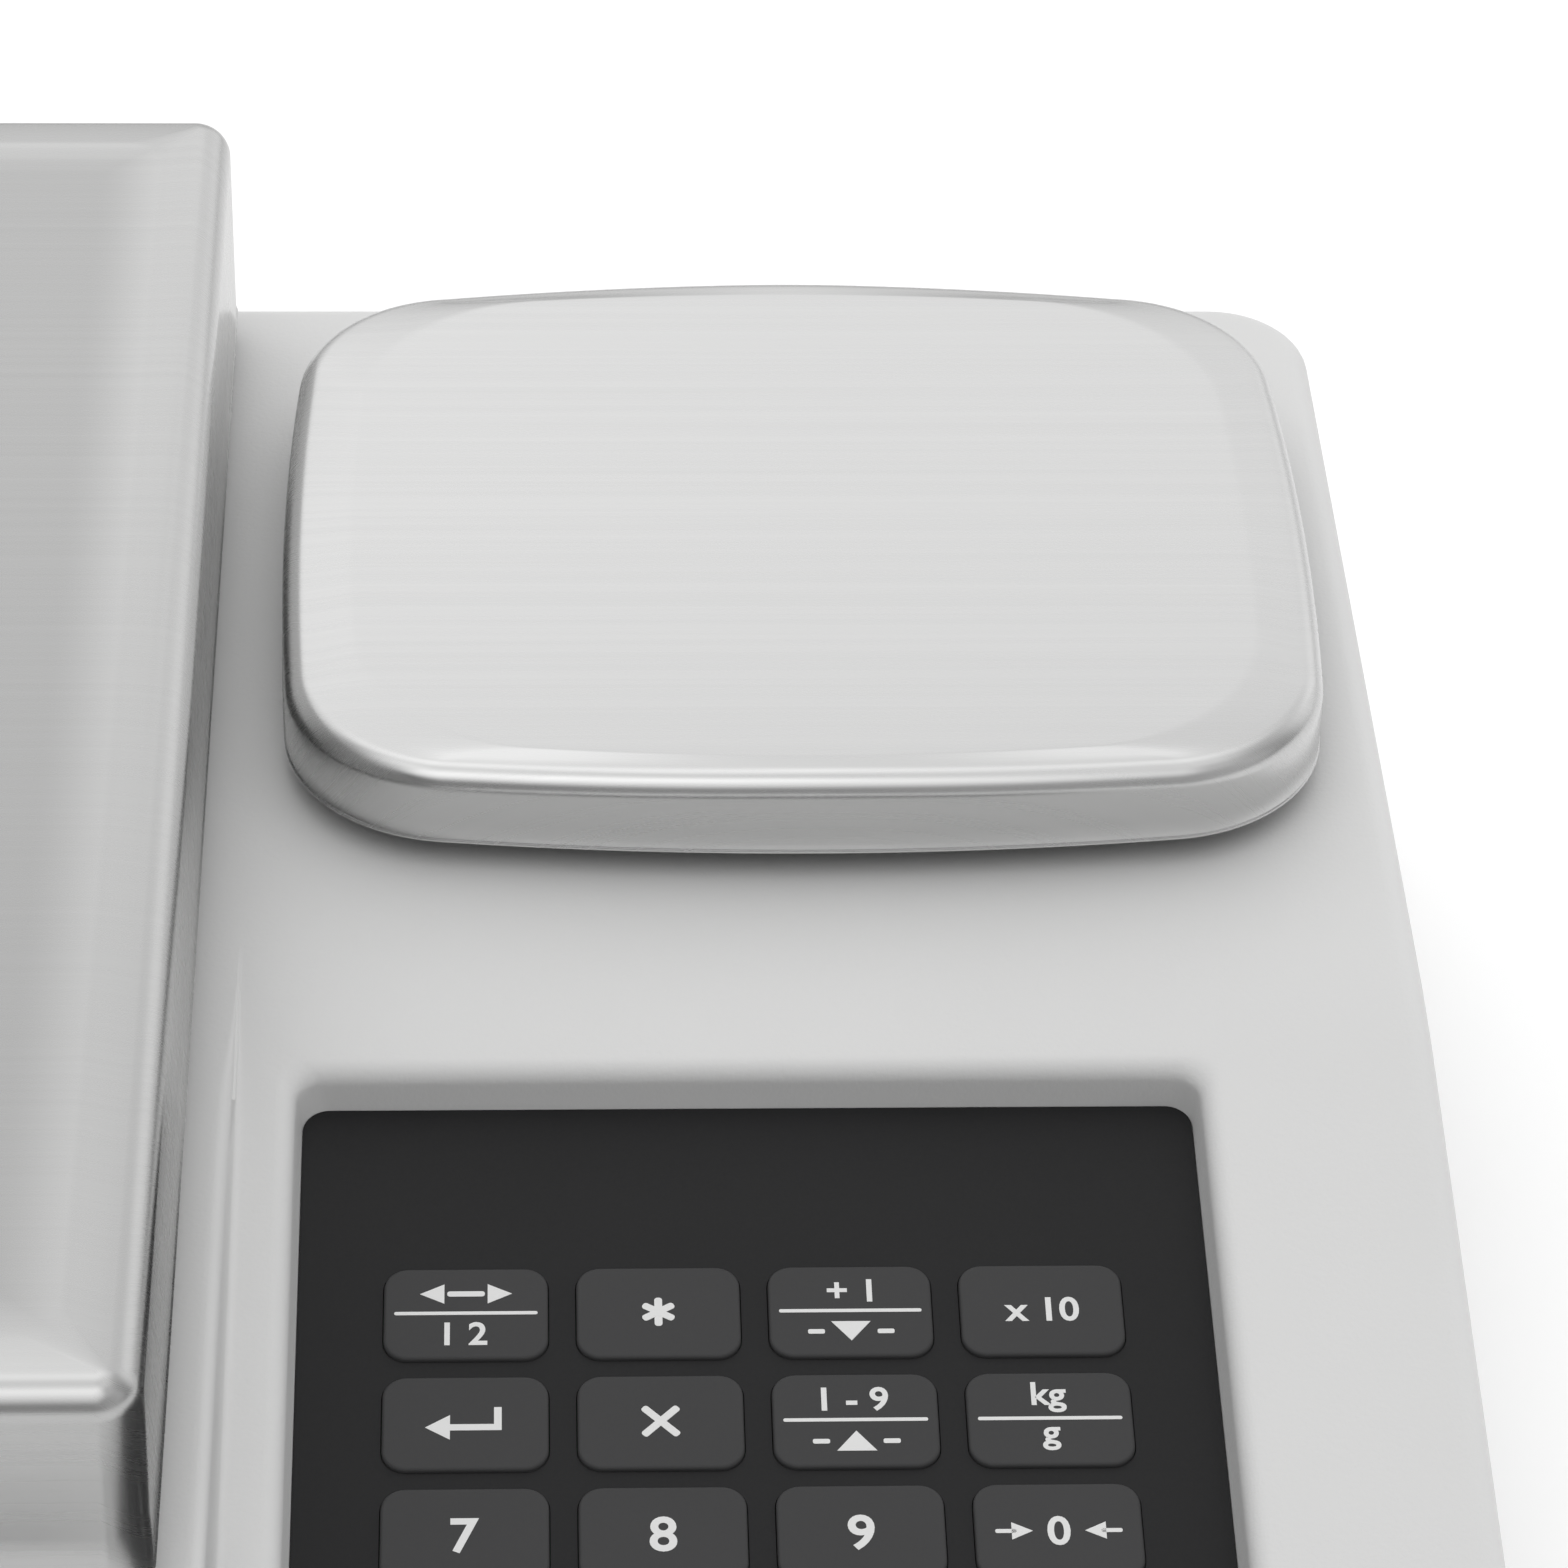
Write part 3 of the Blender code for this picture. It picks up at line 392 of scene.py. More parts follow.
CASE = grained("case_plastic", (0.725, 0.725, 0.722), 0.52, 0.05, 1500.0, 0.07, 0.35, wander=0.012)
DARK = grained("dark_plastic", (0.030, 0.030, 0.031), 0.48, 0.08, 1700.0, 0.03, 0.35)
STEEL = brushed("brushed_steel", (0.57, 0.57, 0.568), 0.27, 0.015, 6.0, 5200.0, 0.0015)
# the main pan's steel: a darker copy of the sample pan's steel, with a painted sheen that lightens its colour towards
# the pan's edges
STEEL_MAIN = brushed("brushed_steel_main", (0.39, 0.39, 0.388), 0.27, 0.015, 5.0, 4800.0, 0.0015, ((-66.35, 25.8), (145.0, 115.25), 16.0, 6.5, 1.28))
ALU = grained("cast_aluminium", (0.62, 0.63, 0.64), 0.42, 0.08, 900.0, 0.05, 0.5, 1.0)
RUBBER = grained("black_rubber", (0.022, 0.022, 0.022), 0.78, 0.08, 1200.0, 0.05, 0.25)
FILM = grained("keypad_film", (0.0165, 0.0165, 0.0172), 0.55, 0.05, 2600.0, 0.010, 0.16)
KEY = grained("key_film", (0.051, 0.051, 0.052), 0.55, 0.05, 2600.0, 0.010, 0.18)
INK = grained("white_print", (0.78, 0.78, 0.775), 0.5, 0.05, 2400.0, 0.004, 0.3, wander=0.01)
BOARD = grained("circuit_board", (0.015, 0.12, 0.045), 0.42, 0.06, 700.0, 0.02, 0.5)
PAPER = grained("paper", (0.82, 0.82, 0.80), 0.85, 0.05, 1800.0, 0.02, 0.15, wander=0.015)
CARD = grained("card_core", (0.36, 0.25, 0.15), 0.85, 0.05, 1200.0, 0.04, 0.15)
NYLON = grained("gear_plastic", (0.72, 0.71, 0.66), 0.45, 0.05, 900.0, 0.02, 0.4)
ZINC = grained("zinc_plate", (0.60, 0.61, 0.62), 0.32, 0.08, 500.0, 0.01, 0.5, 1.0)
HEAD = grained("head_ceramic", (0.20, 0.20, 0.21), 0.28, 0.05, 800.0, 0.01, 0.5, 0.3)
CELL = grained("battery_case", (0.035, 0.038, 0.045), 0.45, 0.06, 800.0, 0.03, 0.4)
LCD = grained("display_glass", (0.40, 0.45, 0.36), 0.30, 0.03, 300.0, 0.002, 0.5, wander=0.01)
SEGMENT = grained("display_ink", (0.012, 0.014, 0.014), 0.45, 0.04, 600.0, 0.002, 0.4)
VIAL = grained("level_fluid", (0.30, 0.48, 0.03), 0.10, 0.03, 300.0, 0.002, 0.5)
LENS, _nt, _b = shader("smoked_window", (0.010, 0.010, 0.011), 0.06, 0.0, Alpha=0.30, Specular_IOR_Level=0.5)
nt_v = place(_nt, (1, 1, 1))
_nt.links.new(ramp(_nt, noise(_nt, nt_v, 40.0, 2.0), [(0.3, 0.05), (0.7, 0.08)]), _b.inputs["Roughness"])


# ---------------------------------------------------------------- casing
def soft_bend(y, y0, slope, k):
    """Height below the deck of a plane that starts to fall at y0, with a rounded bend of half width k."""
    t = y - y0
    if t >= k:
        return 0.0
    if t <= -k:
        return slope * t
    return -slope * (k - t) ** 2 / (4 * k)


def z_left(y):
    return DECK + soft_bend(y, FASCIA_Y, math.tan(FASCIA), 3.0)


def z_right(y):
    return DECK + soft_bend(y, SLOPE_Y, math.tan(SLOPE), 10.0)


STEP_W, STEP_TOP, STEP_FOOT = 0.3, 1.6, 0.8


def top_z(x, y):
    """The casing's upper surface, with the step between the left block and the console."""
    zl, zr = z_left(y), z_right(y)
    a = abs(zl - zr)
    rt, rb = min(STEP_TOP, a * 0.62), min(STEP_FOOT, a * 0.3)
    hi, lo = max(zl, zr), min(zl, zr)
    e = (x - STEP_X) * (1 if zl >= zr else -1) + STEP_W / 2
    if e <= -rt:
        return hi
    if e <= 0:
        return hi - (rt - math.sqrt(max(0.0, rt * rt - (e + rt) ** 2)))
    if e < STEP_W:
        return (hi - rt) + e / STEP_W * ((lo + rb) - (hi - rt))
    if e < STEP_W + rb:
        return lo + rb - math.sqrt(max(0.0, rb * rb - (rb - e + STEP_W) ** 2))
    return lo


def inset_of(x, y):
    ax, ay = abs(x) - (HALF_X - CORNER), abs(y) - (HALF_Y - CORNER)
    return CORNER - math.hypot(ax, ay) if ax > 0 and ay > 0 else CORNER - max(ax, ay)


def edge_drop(d):
    return 0.0 if d >= EDGE else EDGE - math.sqrt(max(0.0, EDGE ** 2 - (EDGE - max(d, 0.0)) ** 2))


def lines(first, last, must, widest):
    marks = sorted({round(m, 4) for m in must if first < m < last} | {first, last})
    out = [marks[0]]
    for a, b in zip(marks, marks[1:]):
        n = max(1, math.ceil((b - a) / widest - 1e-6))
        out += [a + (b - a) * i / n for i in range(1, n + 1)]
    return [round(v, 5) for v in out]


def console_y(v):
    return SLOPE_Y + v * math.cos(SLOPE)


def casing_surface(bm):
    """The outside of the upper casing as one closed body: top, fillets, walls, keypad recess and a lid below."""
    inner_x, inner_y = HALF_X - CORNER, HALF_Y - CORNER
    near = (0.15, 0.2, 0.27, 0.37, 0.5, 0.7, 0.95, 1.25, 1.6, 2.2)
    hx0, hx1, hy0, hy1 = PX0 - 5, PX1 + 5, console_y(PV1 - 5), console_y(PV0 + 5)
    hx0, hx1, hy0, hy1 = (round(v, 4) for v in (hx0, hx1, hy0, hy1))
    xs = lines(-inner_x, inner_x, [STEP_X + s * e for e in near for s in (-1, 1)] + [hx0, hx1, PX0 + 3.6, PX1 - 3.6], 9.0)
    ys = lines(-inner_y, inner_y, [FASCIA_Y + k for k in (-3, -2, -1, 0, 1, 2, 3)] + [SLOPE_Y + k for k in range(-10, 11, 2)]
               + [hy0, hy1, console_y(PV0 - 3.6), console_y(PV1 + 3.6)] + [-117.6 + k for k in (-2, -1, 0, 1, 2)], 9.0)
    ds = [EDGE * (1 - math.cos(k / 8 * PI / 2)) for k in range(9)] + [4.2, 6.2, 9.0, CORNER]
    store = {}

    def vert(x, y):
        key = (round(x, 4), round(y, 4))
        if key not in store:
            z = top_z(x, y) - edge_drop(inset_of(x, y))
            store[key] = bm.verts.new((x * MM, y * MM, z * MM))
        return store[key]

    def quad(a, b, c, d):
        vs = []
        for p in (a, b, c, d):
            v = vert(*p)
            if v not in vs:
                vs.append(v)
        if len(vs) > 2:
            bm.faces.new(vs)

    for x0, x1 in zip(xs, xs[1:]):
        for y0, y1 in zip(ys, ys[1:]):
            if not (x0 >= hx0 - 1e-6 and x1 <= hx1 + 1e-6 and y0 >= hy0 - 1e-6 and y1 <= hy1 + 1e-6):
                quad((x0, y0), (x1, y0), (x1, y1), (x0, y1))
        for d0, d1 in zip(ds, ds[1:]):
            quad((x0, -HALF_Y + d0), (x1, -HALF_Y + d0), (x1, -HALF_Y + d1), (x0, -HALF_Y + d1))
            quad((x0, HALF_Y - d0), (x1, HALF_Y - d0), (x1, HALF_Y - d1), (x0, HALF_Y - d1))
    for y0, y1 in zip(ys, ys[1:]):
        for d0, d1 in zip(ds, ds[1:]):
            quad((-HALF_X + d0, y0), (-HALF_X + d0, y1), (-HALF_X + d1, y1), (-HALF_X + d1, y0))
            quad((HALF_X - d0, y0), (HALF_X - d0, y1), (HALF_X - d1, y1), (HALF_X - d1, y0))
    steps = 12

    def corner(sx, sy, start, k, d):
        a = math.radians(start + 90 * k / steps)
        r = CORNER - d
        return sx * inner_x + r * math.cos(a), sy * inner_y + r * math.sin(a)

    corners = ((1, -1, -90), (1, 1, 0), (-1, 1, 90), (-1, -1, 180))
    for sx, sy, start in corners:
        for k in range(steps):
            for d0, d1 in zip(ds, ds[1:]):
                quad(corner(sx, sy, start, k, d0), corner(sx, sy, start, k + 1, d0), corner(sx, sy, start, k + 1, d1), corner(sx, sy, start, k, d1))
    # walls, from the rim of the top downwards
    rim = [(x, -HALF_Y) for x in xs]
    rim += [corner(1, -1, -90, k, 0) for k in range(1, steps)] + [(HALF_X, y) for y in ys]
    rim += [corner(1, 1, 0, k, 0) for k in range(1, steps)] + [(x, HALF_Y) for x in reversed(xs)]
    rim += [corner(-1, 1, 90, k, 0) for k in range(1, steps)] + [(-HALF_X, y) for y in reversed(ys)]
    rim += [corner(-1, -1, 180, k, 0) for k in range(1, steps)]
    rows = [[vert(x, y) for x, y in rim]]
    for share, z, inset in ((0.5, None, 0.0), (1.0, PART_Z + 0.5, 0.0), (1.0, PART_Z + 0.15, 0.15), (1.0, PART_Z, 0.5)):
        row = []
        for (x, y), v in zip(rim, rows[0]):
            zz = v.co.z / MM * (1 - share) + (PART_Z + 0.5) * share if z is None else z
            fx, fy = (HALF_X - inset) / HALF_X, (HALF_Y - inset) / HALF_Y
            row.append(bm.verts.new((x * fx * MM, y * fy * MM, zz * MM)))
        rows.append(row)
    for a, b in zip(rows, rows[1:]):
        for i in range(len(a)):
            j = (i + 1) % len(a)
            bm.faces.new((a[i], a[j], b[j], b[i]))
    bm.faces.new(rows[-1])

    # keypad recess: rings from the rounded lip down to its floor
    xin = [x for x in xs if PX0 + 3.5 < x < PX1 - 3.5]
    yin = [y for y in ys if console_y(PV1 + 3.5) < y < console_y(PV0 - 3.5)]
    vin = [(y - SLOPE_Y) / math.cos(SLOPE) for y in yin]
    arc = 8

    def on_console(x, v, w):
        y = console_y(v)
        return Vector((x, y - w * math.sin(SLOPE), z_right(y) + w * math.cos(SLOPE))) * MM

    def ring(q, w):
        r = RECESS_R
        x0, x1, v0, v1 = PX0 - q, PX1 + q, PV1 - q, PV0 + q
        pts = [(x, v0) for x in xin]
        pts += [(x1 - r + r * math.cos(math.radians(-90 + 90 * k / arc)), v0 + r + r * math.sin(math.radians(-90 + 90 * k / arc))) for k in range(arc + 1)]
        pts += [(x1, v) for v in vin]
        pts += [(x1 - r + r * math.cos(math.radians(90 * k / arc)), v1 - r + r * math.sin(math.radians(90 * k / arc))) for k in range(arc + 1)]
        pts += [(x, v1) for x in reversed(xin)]
        pts += [(x0 + r + r * math.cos(math.radians(90 + 90 * k / arc)), v1 - r + r * math.sin(math.radians(90 + 90 * k / arc))) for k in range(arc + 1)]
        pts += [(x0, v) for v in reversed(vin)]
        pts += [(x0 + r + r * math.cos(math.radians(180 + 90 * k / arc)), v0 + r + r * math.sin(math.radians(180 + 90 * k / arc))) for k in range(arc + 1)]
        return [bm.verts.new(on_console(x, v, w)) for x, v in pts]

    levels = []
    for k in range(9):
        a = (1 - k / 8) * PI / 2
        levels.append((WALL_Q + LIP * (1 - math.cos(a)), -LIP * (1 - math.sin(a))))
    levels += [(WALL_Q * 0.5, -(LIP + RECESS) / 2), (0.0, -RECESS)]
    rings = [ring(q, w) for q, w in levels]
    n = len(rings[0])
    for a, b in zip(rings, rings[1:]):
        for i in range(n):
            j = (i + 1) % n
            bm.faces.new((a[i], b[i], b[j], a[j]))
    bm.faces.new(list(reversed(rings[-1])))
    # joins between the lip and the grid round it
    nx, ny = len(xin), len(yin)
    lip = rings[0]
    i_right, i_top, i_left = nx + arc + 1, nx + arc + 1 + ny + arc + 1, 2 * nx + 2 * (arc + 1) + ny + arc + 1
    for i in range(nx - 1):
        bm.faces.new((vert(xin[i], hy0), vert(xin[i + 1], hy0), lip[i + 1], lip[i]))
        x0, x1 = xin[nx - 1 - i], xin[nx - 2 - i]
        bm.faces.new((vert(x0, hy1), vert(x1, hy1), lip[i_top + i + 1], lip[i_top + i]))
    for i in range(ny - 1):
        bm.faces.new((vert(hx1, yin[i]), vert(hx1, yin[i + 1]), lip[i_right + i + 1], lip[i_right + i]))
        y0, y1 = yin[ny - 1 - i], yin[ny - 2 - i]
        bm.faces.new((vert(hx0, y0), vert(hx0, y1), lip[i_left + i + 1], lip[i_left + i]))
    low_x = [x for x in xs if hx0 < x < xin[0]]
    high_x = [x for x in xs if xin[-1] < x < hx1]
    low_y = [y for y in ys if hy0 < y < yin[0]]
    high_y = [y for y in ys if yin[-1] < y < hy1]
    arcs = [lip[nx - 1:nx + arc + 2], lip[i_right + ny - 1:i_top + 1], lip[i_top + nx - 1:i_left + 1],
            lip[i_left + ny - 1:] + [lip[0]]]
    outers = [[(xin[-1], hy0)] + [(x, hy0) for x in high_x] + [(hx1, hy0)] + [(hx1, y) for y in low_y] + [(hx1, yin[0])],
              [(hx1, yin[-1])] + [(hx1, y) for y in high_y] + [(hx1, hy1)] + [(x, hy1) for x in reversed(high_x)] + [(xin[-1], hy1)],
              [(xin[0], hy1)] + [(x, hy1) for x in reversed(low_x)] + [(hx0, hy1)] + [(hx0, y) for y in reversed(high_y)] + [(hx0, yin[-1])],
              [(hx0, yin[0])] + [(hx0, y) for y in reversed(low_y)] + [(hx0, hy0)] + [(x, hy0) for x in low_x] + [(xin[0], hy0)]]
    for outer, inner in zip(outers, arcs):
        bm.faces.new([vert(x, y) for x, y in outer] + list(reversed(inner)))


def left_profile(t):
    b, top = -HALF_Y + t, DECK - t
    z_end = DECK - (FASCIA_Y - FASCIA_END) * math.tan(FASCIA) - t / math.cos(FASCIA)
    return [(b, PART_Z - 5), (HALF_Y - t, PART_Z - 5), (HALF_Y - t, top), (FASCIA_Y + t * math.tan(FASCIA / 2), top),
            (FASCIA_END + 0.2 * t, z_end + 0.2 * t * math.tan(FASCIA)), (b, z_end - 3.4)]


def slope_z(y):
    return DECK - (SLOPE_Y - y) * math.tan(SLOPE)


def right_profile(t):
    b = -HALF_Y + t
    return [(b, PART_Z - 5), (HALF_Y - t, PART_Z - 5), (HALF_Y - t, DECK - t), (SLOPE_Y + t * math.tan(SLOPE / 2), DECK - t),
            (b, slope_z(b) - t / math.cos(SLOPE))]


def common_profile(t):
    left = left_profile(t)
    tf, ts = math.tan(FASCIA), math.tan(SLOPE)
    y = (-t / math.cos(FASCIA) - FASCIA_Y * tf + t / math.cos(SLOPE) + SLOPE_Y * ts) / (ts - tf)
    return [left[0], left[1], left[2], (SLOPE_Y + t * math.tan(SLOPE / 2), DECK - t), (y, slope_z(y) - t / math.cos(SLOPE)), *left[4:]]


def flared(bm, shape, depth, rise=6.0, chamfer=0.35):
    """A cutter for an opening, wider by a chamfer at the surface."""
    loft(bm, [at(shape(0), -depth), at(shape(0), -chamfer), at(shape(-chamfer - 0.02), 0.02), at(shape(-chamfer - 0.02), rise)])


def cutter(name, build, *args, frame_matrix=None, **kw):
    bm = made(build, *args, **kw)
    if frame_matrix is not None:
        put(bm, frame_matrix)
    return raw(name, bm)


def lean(matrix_rows):
    return Matrix(matrix_rows)


def build_casing():
    skin = raw("housing_skin", made(casing_surface))
    plan_loop = rounded(-HALF_X + WALL, -HALF_Y + WALL, HALF_X - WALL, HALF_Y - WALL, CORNER - WALL, 8)
    hollows = []
    for label, profile, x0, x1 in (("left", left_profile(WALL), -HALF_X - 5, STEP_X - WALL - 0.15), ("right", right_profile(WALL), STEP_X + WALL, HALF_X + 5),
                                   ("mid", common_profile(WALL + 0.6), STEP_X - WALL - 3, STEP_X + WALL + 3)):
        hollow = cutter("hollow_" + label, side, profile, x0, x1)
        carve(hollow, [cutter("plan_" + label, prism, plan_loop, PART_Z - 30, DECK + 20)], "INTERSECT")
        if label != "left":
            carve(hollow, [cutter("tub_" + label, box, (PX0 - 3.2, PV1 - 3.8, -RECESS - 2.4), (PX1 + 3.8, PV0 + 3.8, 6), frame_matrix=CONSOLE)])
        hollows.append(hollow)
    carve(skin, hollows)
    fascia_cuts = [
        cutter("c_keys", box, (PX0 + 4.2, PV1 + 3.2, -20), (PX1 - 4.2, PV0 - 4.2, -RECESS + 1), frame_matrix=CONSOLE),
        cutter("c_door", flared, rect(-202.0, -55.0, -118.0, -3.1, 1.2), 9.0, frame_matrix=FRONT),
        cutter("c_rabbet", flared, rect(-92.3, -47.3, 70.3, -10.7, 1.3), 1.5, frame_matrix=FRONT, chamfer=0.25),
        cutter("c_window", prism, rounded(-89, -44, 67, -14, 0.8, 4), -9, 3, frame_matrix=FRONT),
        cutter("c_feed", flared, disc(-105.0, -30.0, 4.75), 8.0, frame_matrix=FRONT, chamfer=0.3),
    ]
    up = Matrix.Translation((0, 0, DECK * MM))
    deck_cuts = [
        cutter("c_main", flared, rect(-43, 8, -1, 46, 3.0), 12.0, frame_matrix=up, chamfer=0.6),
        cutter("c_sub", flared, rect(132.7, 44, 162.7, 74, 3.0), 12.0, frame_matrix=up, chamfer=0.6),
        cutter("c_level", flared, disc(-66.9, -62.0, 8.3), 12.0, frame_matrix=up, chamfer=0.5),
    ]
    right = Matrix.Translation((HALF_X * MM, 60 * MM, 38 * MM)) @ Matrix(((0, 0, 1, 0), (1, 0, 0, 0), (0, 1, 0, 0), (0, 0, 0, 1)))
    back = Matrix.Translation((105 * MM, HALF_Y * MM, 38 * MM)) @ Matrix(((-1, 0, 0, 0), (0, 0, 1, 0), (0, 1, 0, 0), (0, 0, 0, 1)))
    wall_cuts = [cutter("c_switch", prism, rounded(-10.8, -6.8, 10.8, 6.8, 0.8, 4), -9, 9, frame_matrix=right),
                 cutter("c_inlet", prism, rounded(-14.4, -10.4, 14.4, 10.4, 1.0, 4), -9, 9, frame_matrix=back)]
    carve(skin, fascia_cuts + deck_cuts + wall_cuts)
    return piece(skin, CASE, "housing", ("upper_housing",), 28.0), right, back


skin, RIGHT, BACK = build_casing()


# ---------------------------------------------------------------- pans
def bowed(cx, cy, half_x, half_y, side_x, side_y, r, inset, n=20, m=22):
    """A rectangle with gently bowed sides and round corners, all arcs that meet smoothly, moved in by an inset."""
    ax, by = half_x - side_x, half_y - side_y
    gap = math.hypot(ax, by)
    along = ((side_x - r) ** 2 - (side_y - r) ** 2 + gap ** 2) / (2 * gap)
    off = math.sqrt((side_x - r) ** 2 - along ** 2)
    ux, uy = -ax / gap, by / gap
    qx, qy = ax + ux * along - uy * off, uy * along + ux * off
    if qx < 0 or qy < 0:
        qx, qy = ax + ux * along + uy * off, uy * along - ux * off
    a0, a1 = math.atan2(qy, qx - ax), math.atan2(qy - by, qx)
    sx, sy, rr = side_x - inset, side_y - inset, r - inset
    q = [(ax + sx * math.cos(a0 * k / m), sx * math.sin(a0 * k / m)) for k in range(m)]
    q += [(qx + rr * math.cos(a0 + (a1 - a0) * k / n), qy + rr * math.sin(a0 + (a1 - a0) * k / n)) for k in range(n + 1)]
    q += [(sy * math.cos(a1 + (PI / 2 - a1) * k / m), by + sy * math.sin(a1 + (PI / 2 - a1) * k / m)) for k in range(1, m + 1)]
    full = q + [(-x, y) for x, y in reversed(q)][1:] + [(-x, -y) for x, y in q][1:] + [(x, -y) for x, y in reversed(q)][1:-1]
    return [(cx + x, cy + y) for x, y in full]


def pan_loops(outer, flat, top, rim, thick, tilt, bend, flare):
    """Rings of a drawn pan from the middle of its flat outwards, down the skirt, round the cut edge and back inside.
    A crease runs round the flat, a band falls from it at a small tilt and an easy bend leads to the skirt."""
    tilt, last = math.radians(tilt), math.radians(88.5)
    line = flat(0.0)
    mid = [sum(p[k] for p in line) / len(line) for k in (0, 1)]
    loops = [at([(mid[0] + (x - mid[0]) * f, mid[1] + (y - mid[1]) * f) for x, y in line], top) for f in (0.55, 0.9, 0.985)]
    crease = len(loops)
    start = outer(flare + bend * (math.sin(last) - math.sin(tilt)))
    width = [math.hypot(x1 - x0, y1 - y0) for (x0, y0), (x1, y1) in zip(line, start)]
    for t in (0.0, 0.04, 0.10, 0.18, 0.45, 0.75, 1.0):
        ease = t * t / 0.36 if t < 0.18 else t - 0.09
        loops.append([(x0 + (x1 - x0) * t, y0 + (y1 - y0) * t, top - math.tan(tilt) * w * ease) for (x0, y0), (x1, y1), w in zip(line, start, width)])
    z_band = [p[2] for p in loops[-1]]
    for k in range(1, 15):
        a = tilt + (last - tilt) * k / 14
        loops.append([(x, y, z - bend * (math.cos(tilt) - math.cos(a))) for (x, y), z in zip(outer(flare + bend * (math.sin(last) - math.sin(a))), z_band)])
    z_bend = [p[2] for p in loops[-1]]
    for k in range(1, 4):
        loops.append([(x, y, z + (rim + 0.55 - z) * k / 3) for (x, y), z in zip(outer(flare), z_bend)])
    outside = len(loops)
    # the cut edge stands out a little and is rounded
    low = min(z_bend)
    for i, z in ((flare - 0.10, rim + 0.40), (flare - 0.20, rim + 0.24), (flare - 0.20, rim + 0.10), (flare - 0.08, rim), (flare + thick * 0.7, rim), (flare + thick, rim + 0.25),
                 (flare + thick, low - 0.4), (flare + thick + 0.4, low + bend * 0.30), (flare + bend * 0.5 + thick, low + bend * 0.62), (flare + bend + thick, low + bend * 0.80 - thick * 0.4)):
        loops.append(at(outer(i), z))
    loops.append(at(flat(0.5), top - thick - 0.45))
    loops.append(at([(mid[0] + (x - mid[0]) * 0.9, mid[1] + (y - mid[1]) * 0.9) for x, y in line], top - thick))
    return loops, crease, outside


def build_pan(name, loops, crease, outside, body, node_name, mat):
    bm = bmesh.new()
    uv = bm.loops.layers.uv.new("sheet")
    # lay the sheet flat: how far each point is from the crease, measured along the sheet
    spot = {}
    for k in range(len(loops[0])):
        x0, y0, _ = loops[crease][k]
        x1, y1, _ = loops[outside - 1][k]
        ux, uy = x1 - x0, y1 - y0
        size = max(1e-6, math.hypot(ux, uy))
        far, last = 0.0, None
        for r, ring in enumerate(loops):
            p = Vector(ring[k])
            if r > crease:
                far += (p - last).length
            last = p
            spot[(r, k)] = (x0 + ux / size * far, y0 + uy / size * far) if crease < r < outside + 3 else (p.x, p.y)
    rings = loft(bm, loops)
    where = {v: spot[(r, k)] for r, ring in enumerate(rings) for k, v in enumerate(ring)}
    for f in bm.faces:
        for lp in f.loops:
            u, v = where[lp.vert]
            lp[uv].uv = (u * MM, v * MM)
    obj = raw(name, bm)
    return piece(obj, mat, body, (node_name,), 40.0)


SUB_C = (147.1, 78.9)


def sub_outline(i):
    return bowed(SUB_C[0], 78.37, 60.93, 51.77, 480.0, 374.0, 20.4, i)


def sub_flat(i):
    return bowed(147.35, 78.4, 52.6, 46.9, 440.0, 350.0, 24.0, i)


sub_pan = build_pan("sample_pan_sheet", *pan_loops(sub_outline, sub_flat, 94.0, 83.5, 0.9, 4.0, 2.9, 0.2), "sub_pan", "sub_pan", STEEL)
MAIN_C, MAIN_H = (-66.35, 25.8), (145.0, 115.25)


def main_rect(i, r):
    return rounded(MAIN_C[0] - MAIN_H[0] + i, MAIN_C[1] - MAIN_H[1] + i, MAIN_C[0] + MAIN_H[0] - i, MAIN_C[1] + MAIN_H[1] - i, r, 16)


def main_outline(i):
    return main_rect(i, max(0.4, 4.8 - i))


def main_flat(i):
    return main_rect(8.6 + i, 4.5)


main_pan = build_pan("main_pan_sheet", *pan_loops(main_outline, main_flat, 111.5, 84.0, 1.2, 2.8, 3.8, 0.2), "main_pan", "main_pan", STEEL_MAIN)


# ---------------------------------------------------------------- keypad
KEY_W, KEY_H, KEY_R, KEY_PX, KEY_PY = 17.45, 12.2, 2.6, 20.43, 14.54


def key_centre(row, col):
    return 90.6 + 9.34 - 0.17 + col * KEY_PX + 17.25 / 2, -11.2 - 22.4 + 0.05 - row * KEY_PY - 6.0


film_q = WALL_Q * (1.5 / (RECESS - LIP)) - 0.1
film_loops = [rounded(PX0 - film_q, PV1 - film_q, PX1 + film_q, PV0 + film_q, RECESS_R - 0.1, 10)]
for row in range(6):
    for col in range(4):
        kx, kv = key_centre(row, col)
        film_loops.append(rounded(kx - KEY_W / 2 - 0.1, kv - KEY_H / 2 - 0.1, kx + KEY_W / 2 + 0.1, kv + KEY_H / 2 + 0.1, KEY_R + 0.1, 8))
bm = outline("film", film_loops, -RECESS + 0.3, FILM_TOP)
put(bm, CONSOLE)
piece(raw("keypad_film_sheet", bm), FILM, "housing", ("keypad_overlay",), 30.0)


def bar(x0, y0, x1, y1, r=0.2):
    return rounded(x0, y0, x1, y1, r, 4)


def arrow(cx, cy, w, h, way):
    """A solid triangle that points left, right, up or down."""
    pts = {"r": [(-1, -1), (1, 0), (-1, 1)], "l": [(1, 1), (-1, 0), (1, -1)], "u": [(-1, -1), (1, -1), (0, 1)], "d": [(1, 1), (-1, 1), (0, -1)]}[way]
    return [(cx + x * w / 2, cy + y * h / 2) for x, y in pts]


def star(cx, cy, r, t):
    """A six armed star of straight bars."""
    shapes = []
    for k in range(3):
        a = math.radians(90 + 60 * k)
        c, s = math.cos(a), math.sin(a)
        shapes.append([(cx + x * c - y * s, cy + x * s + y * c) for x, y in rounded(-r, -t, r, t, t * 0.8, 4)])
    return shapes


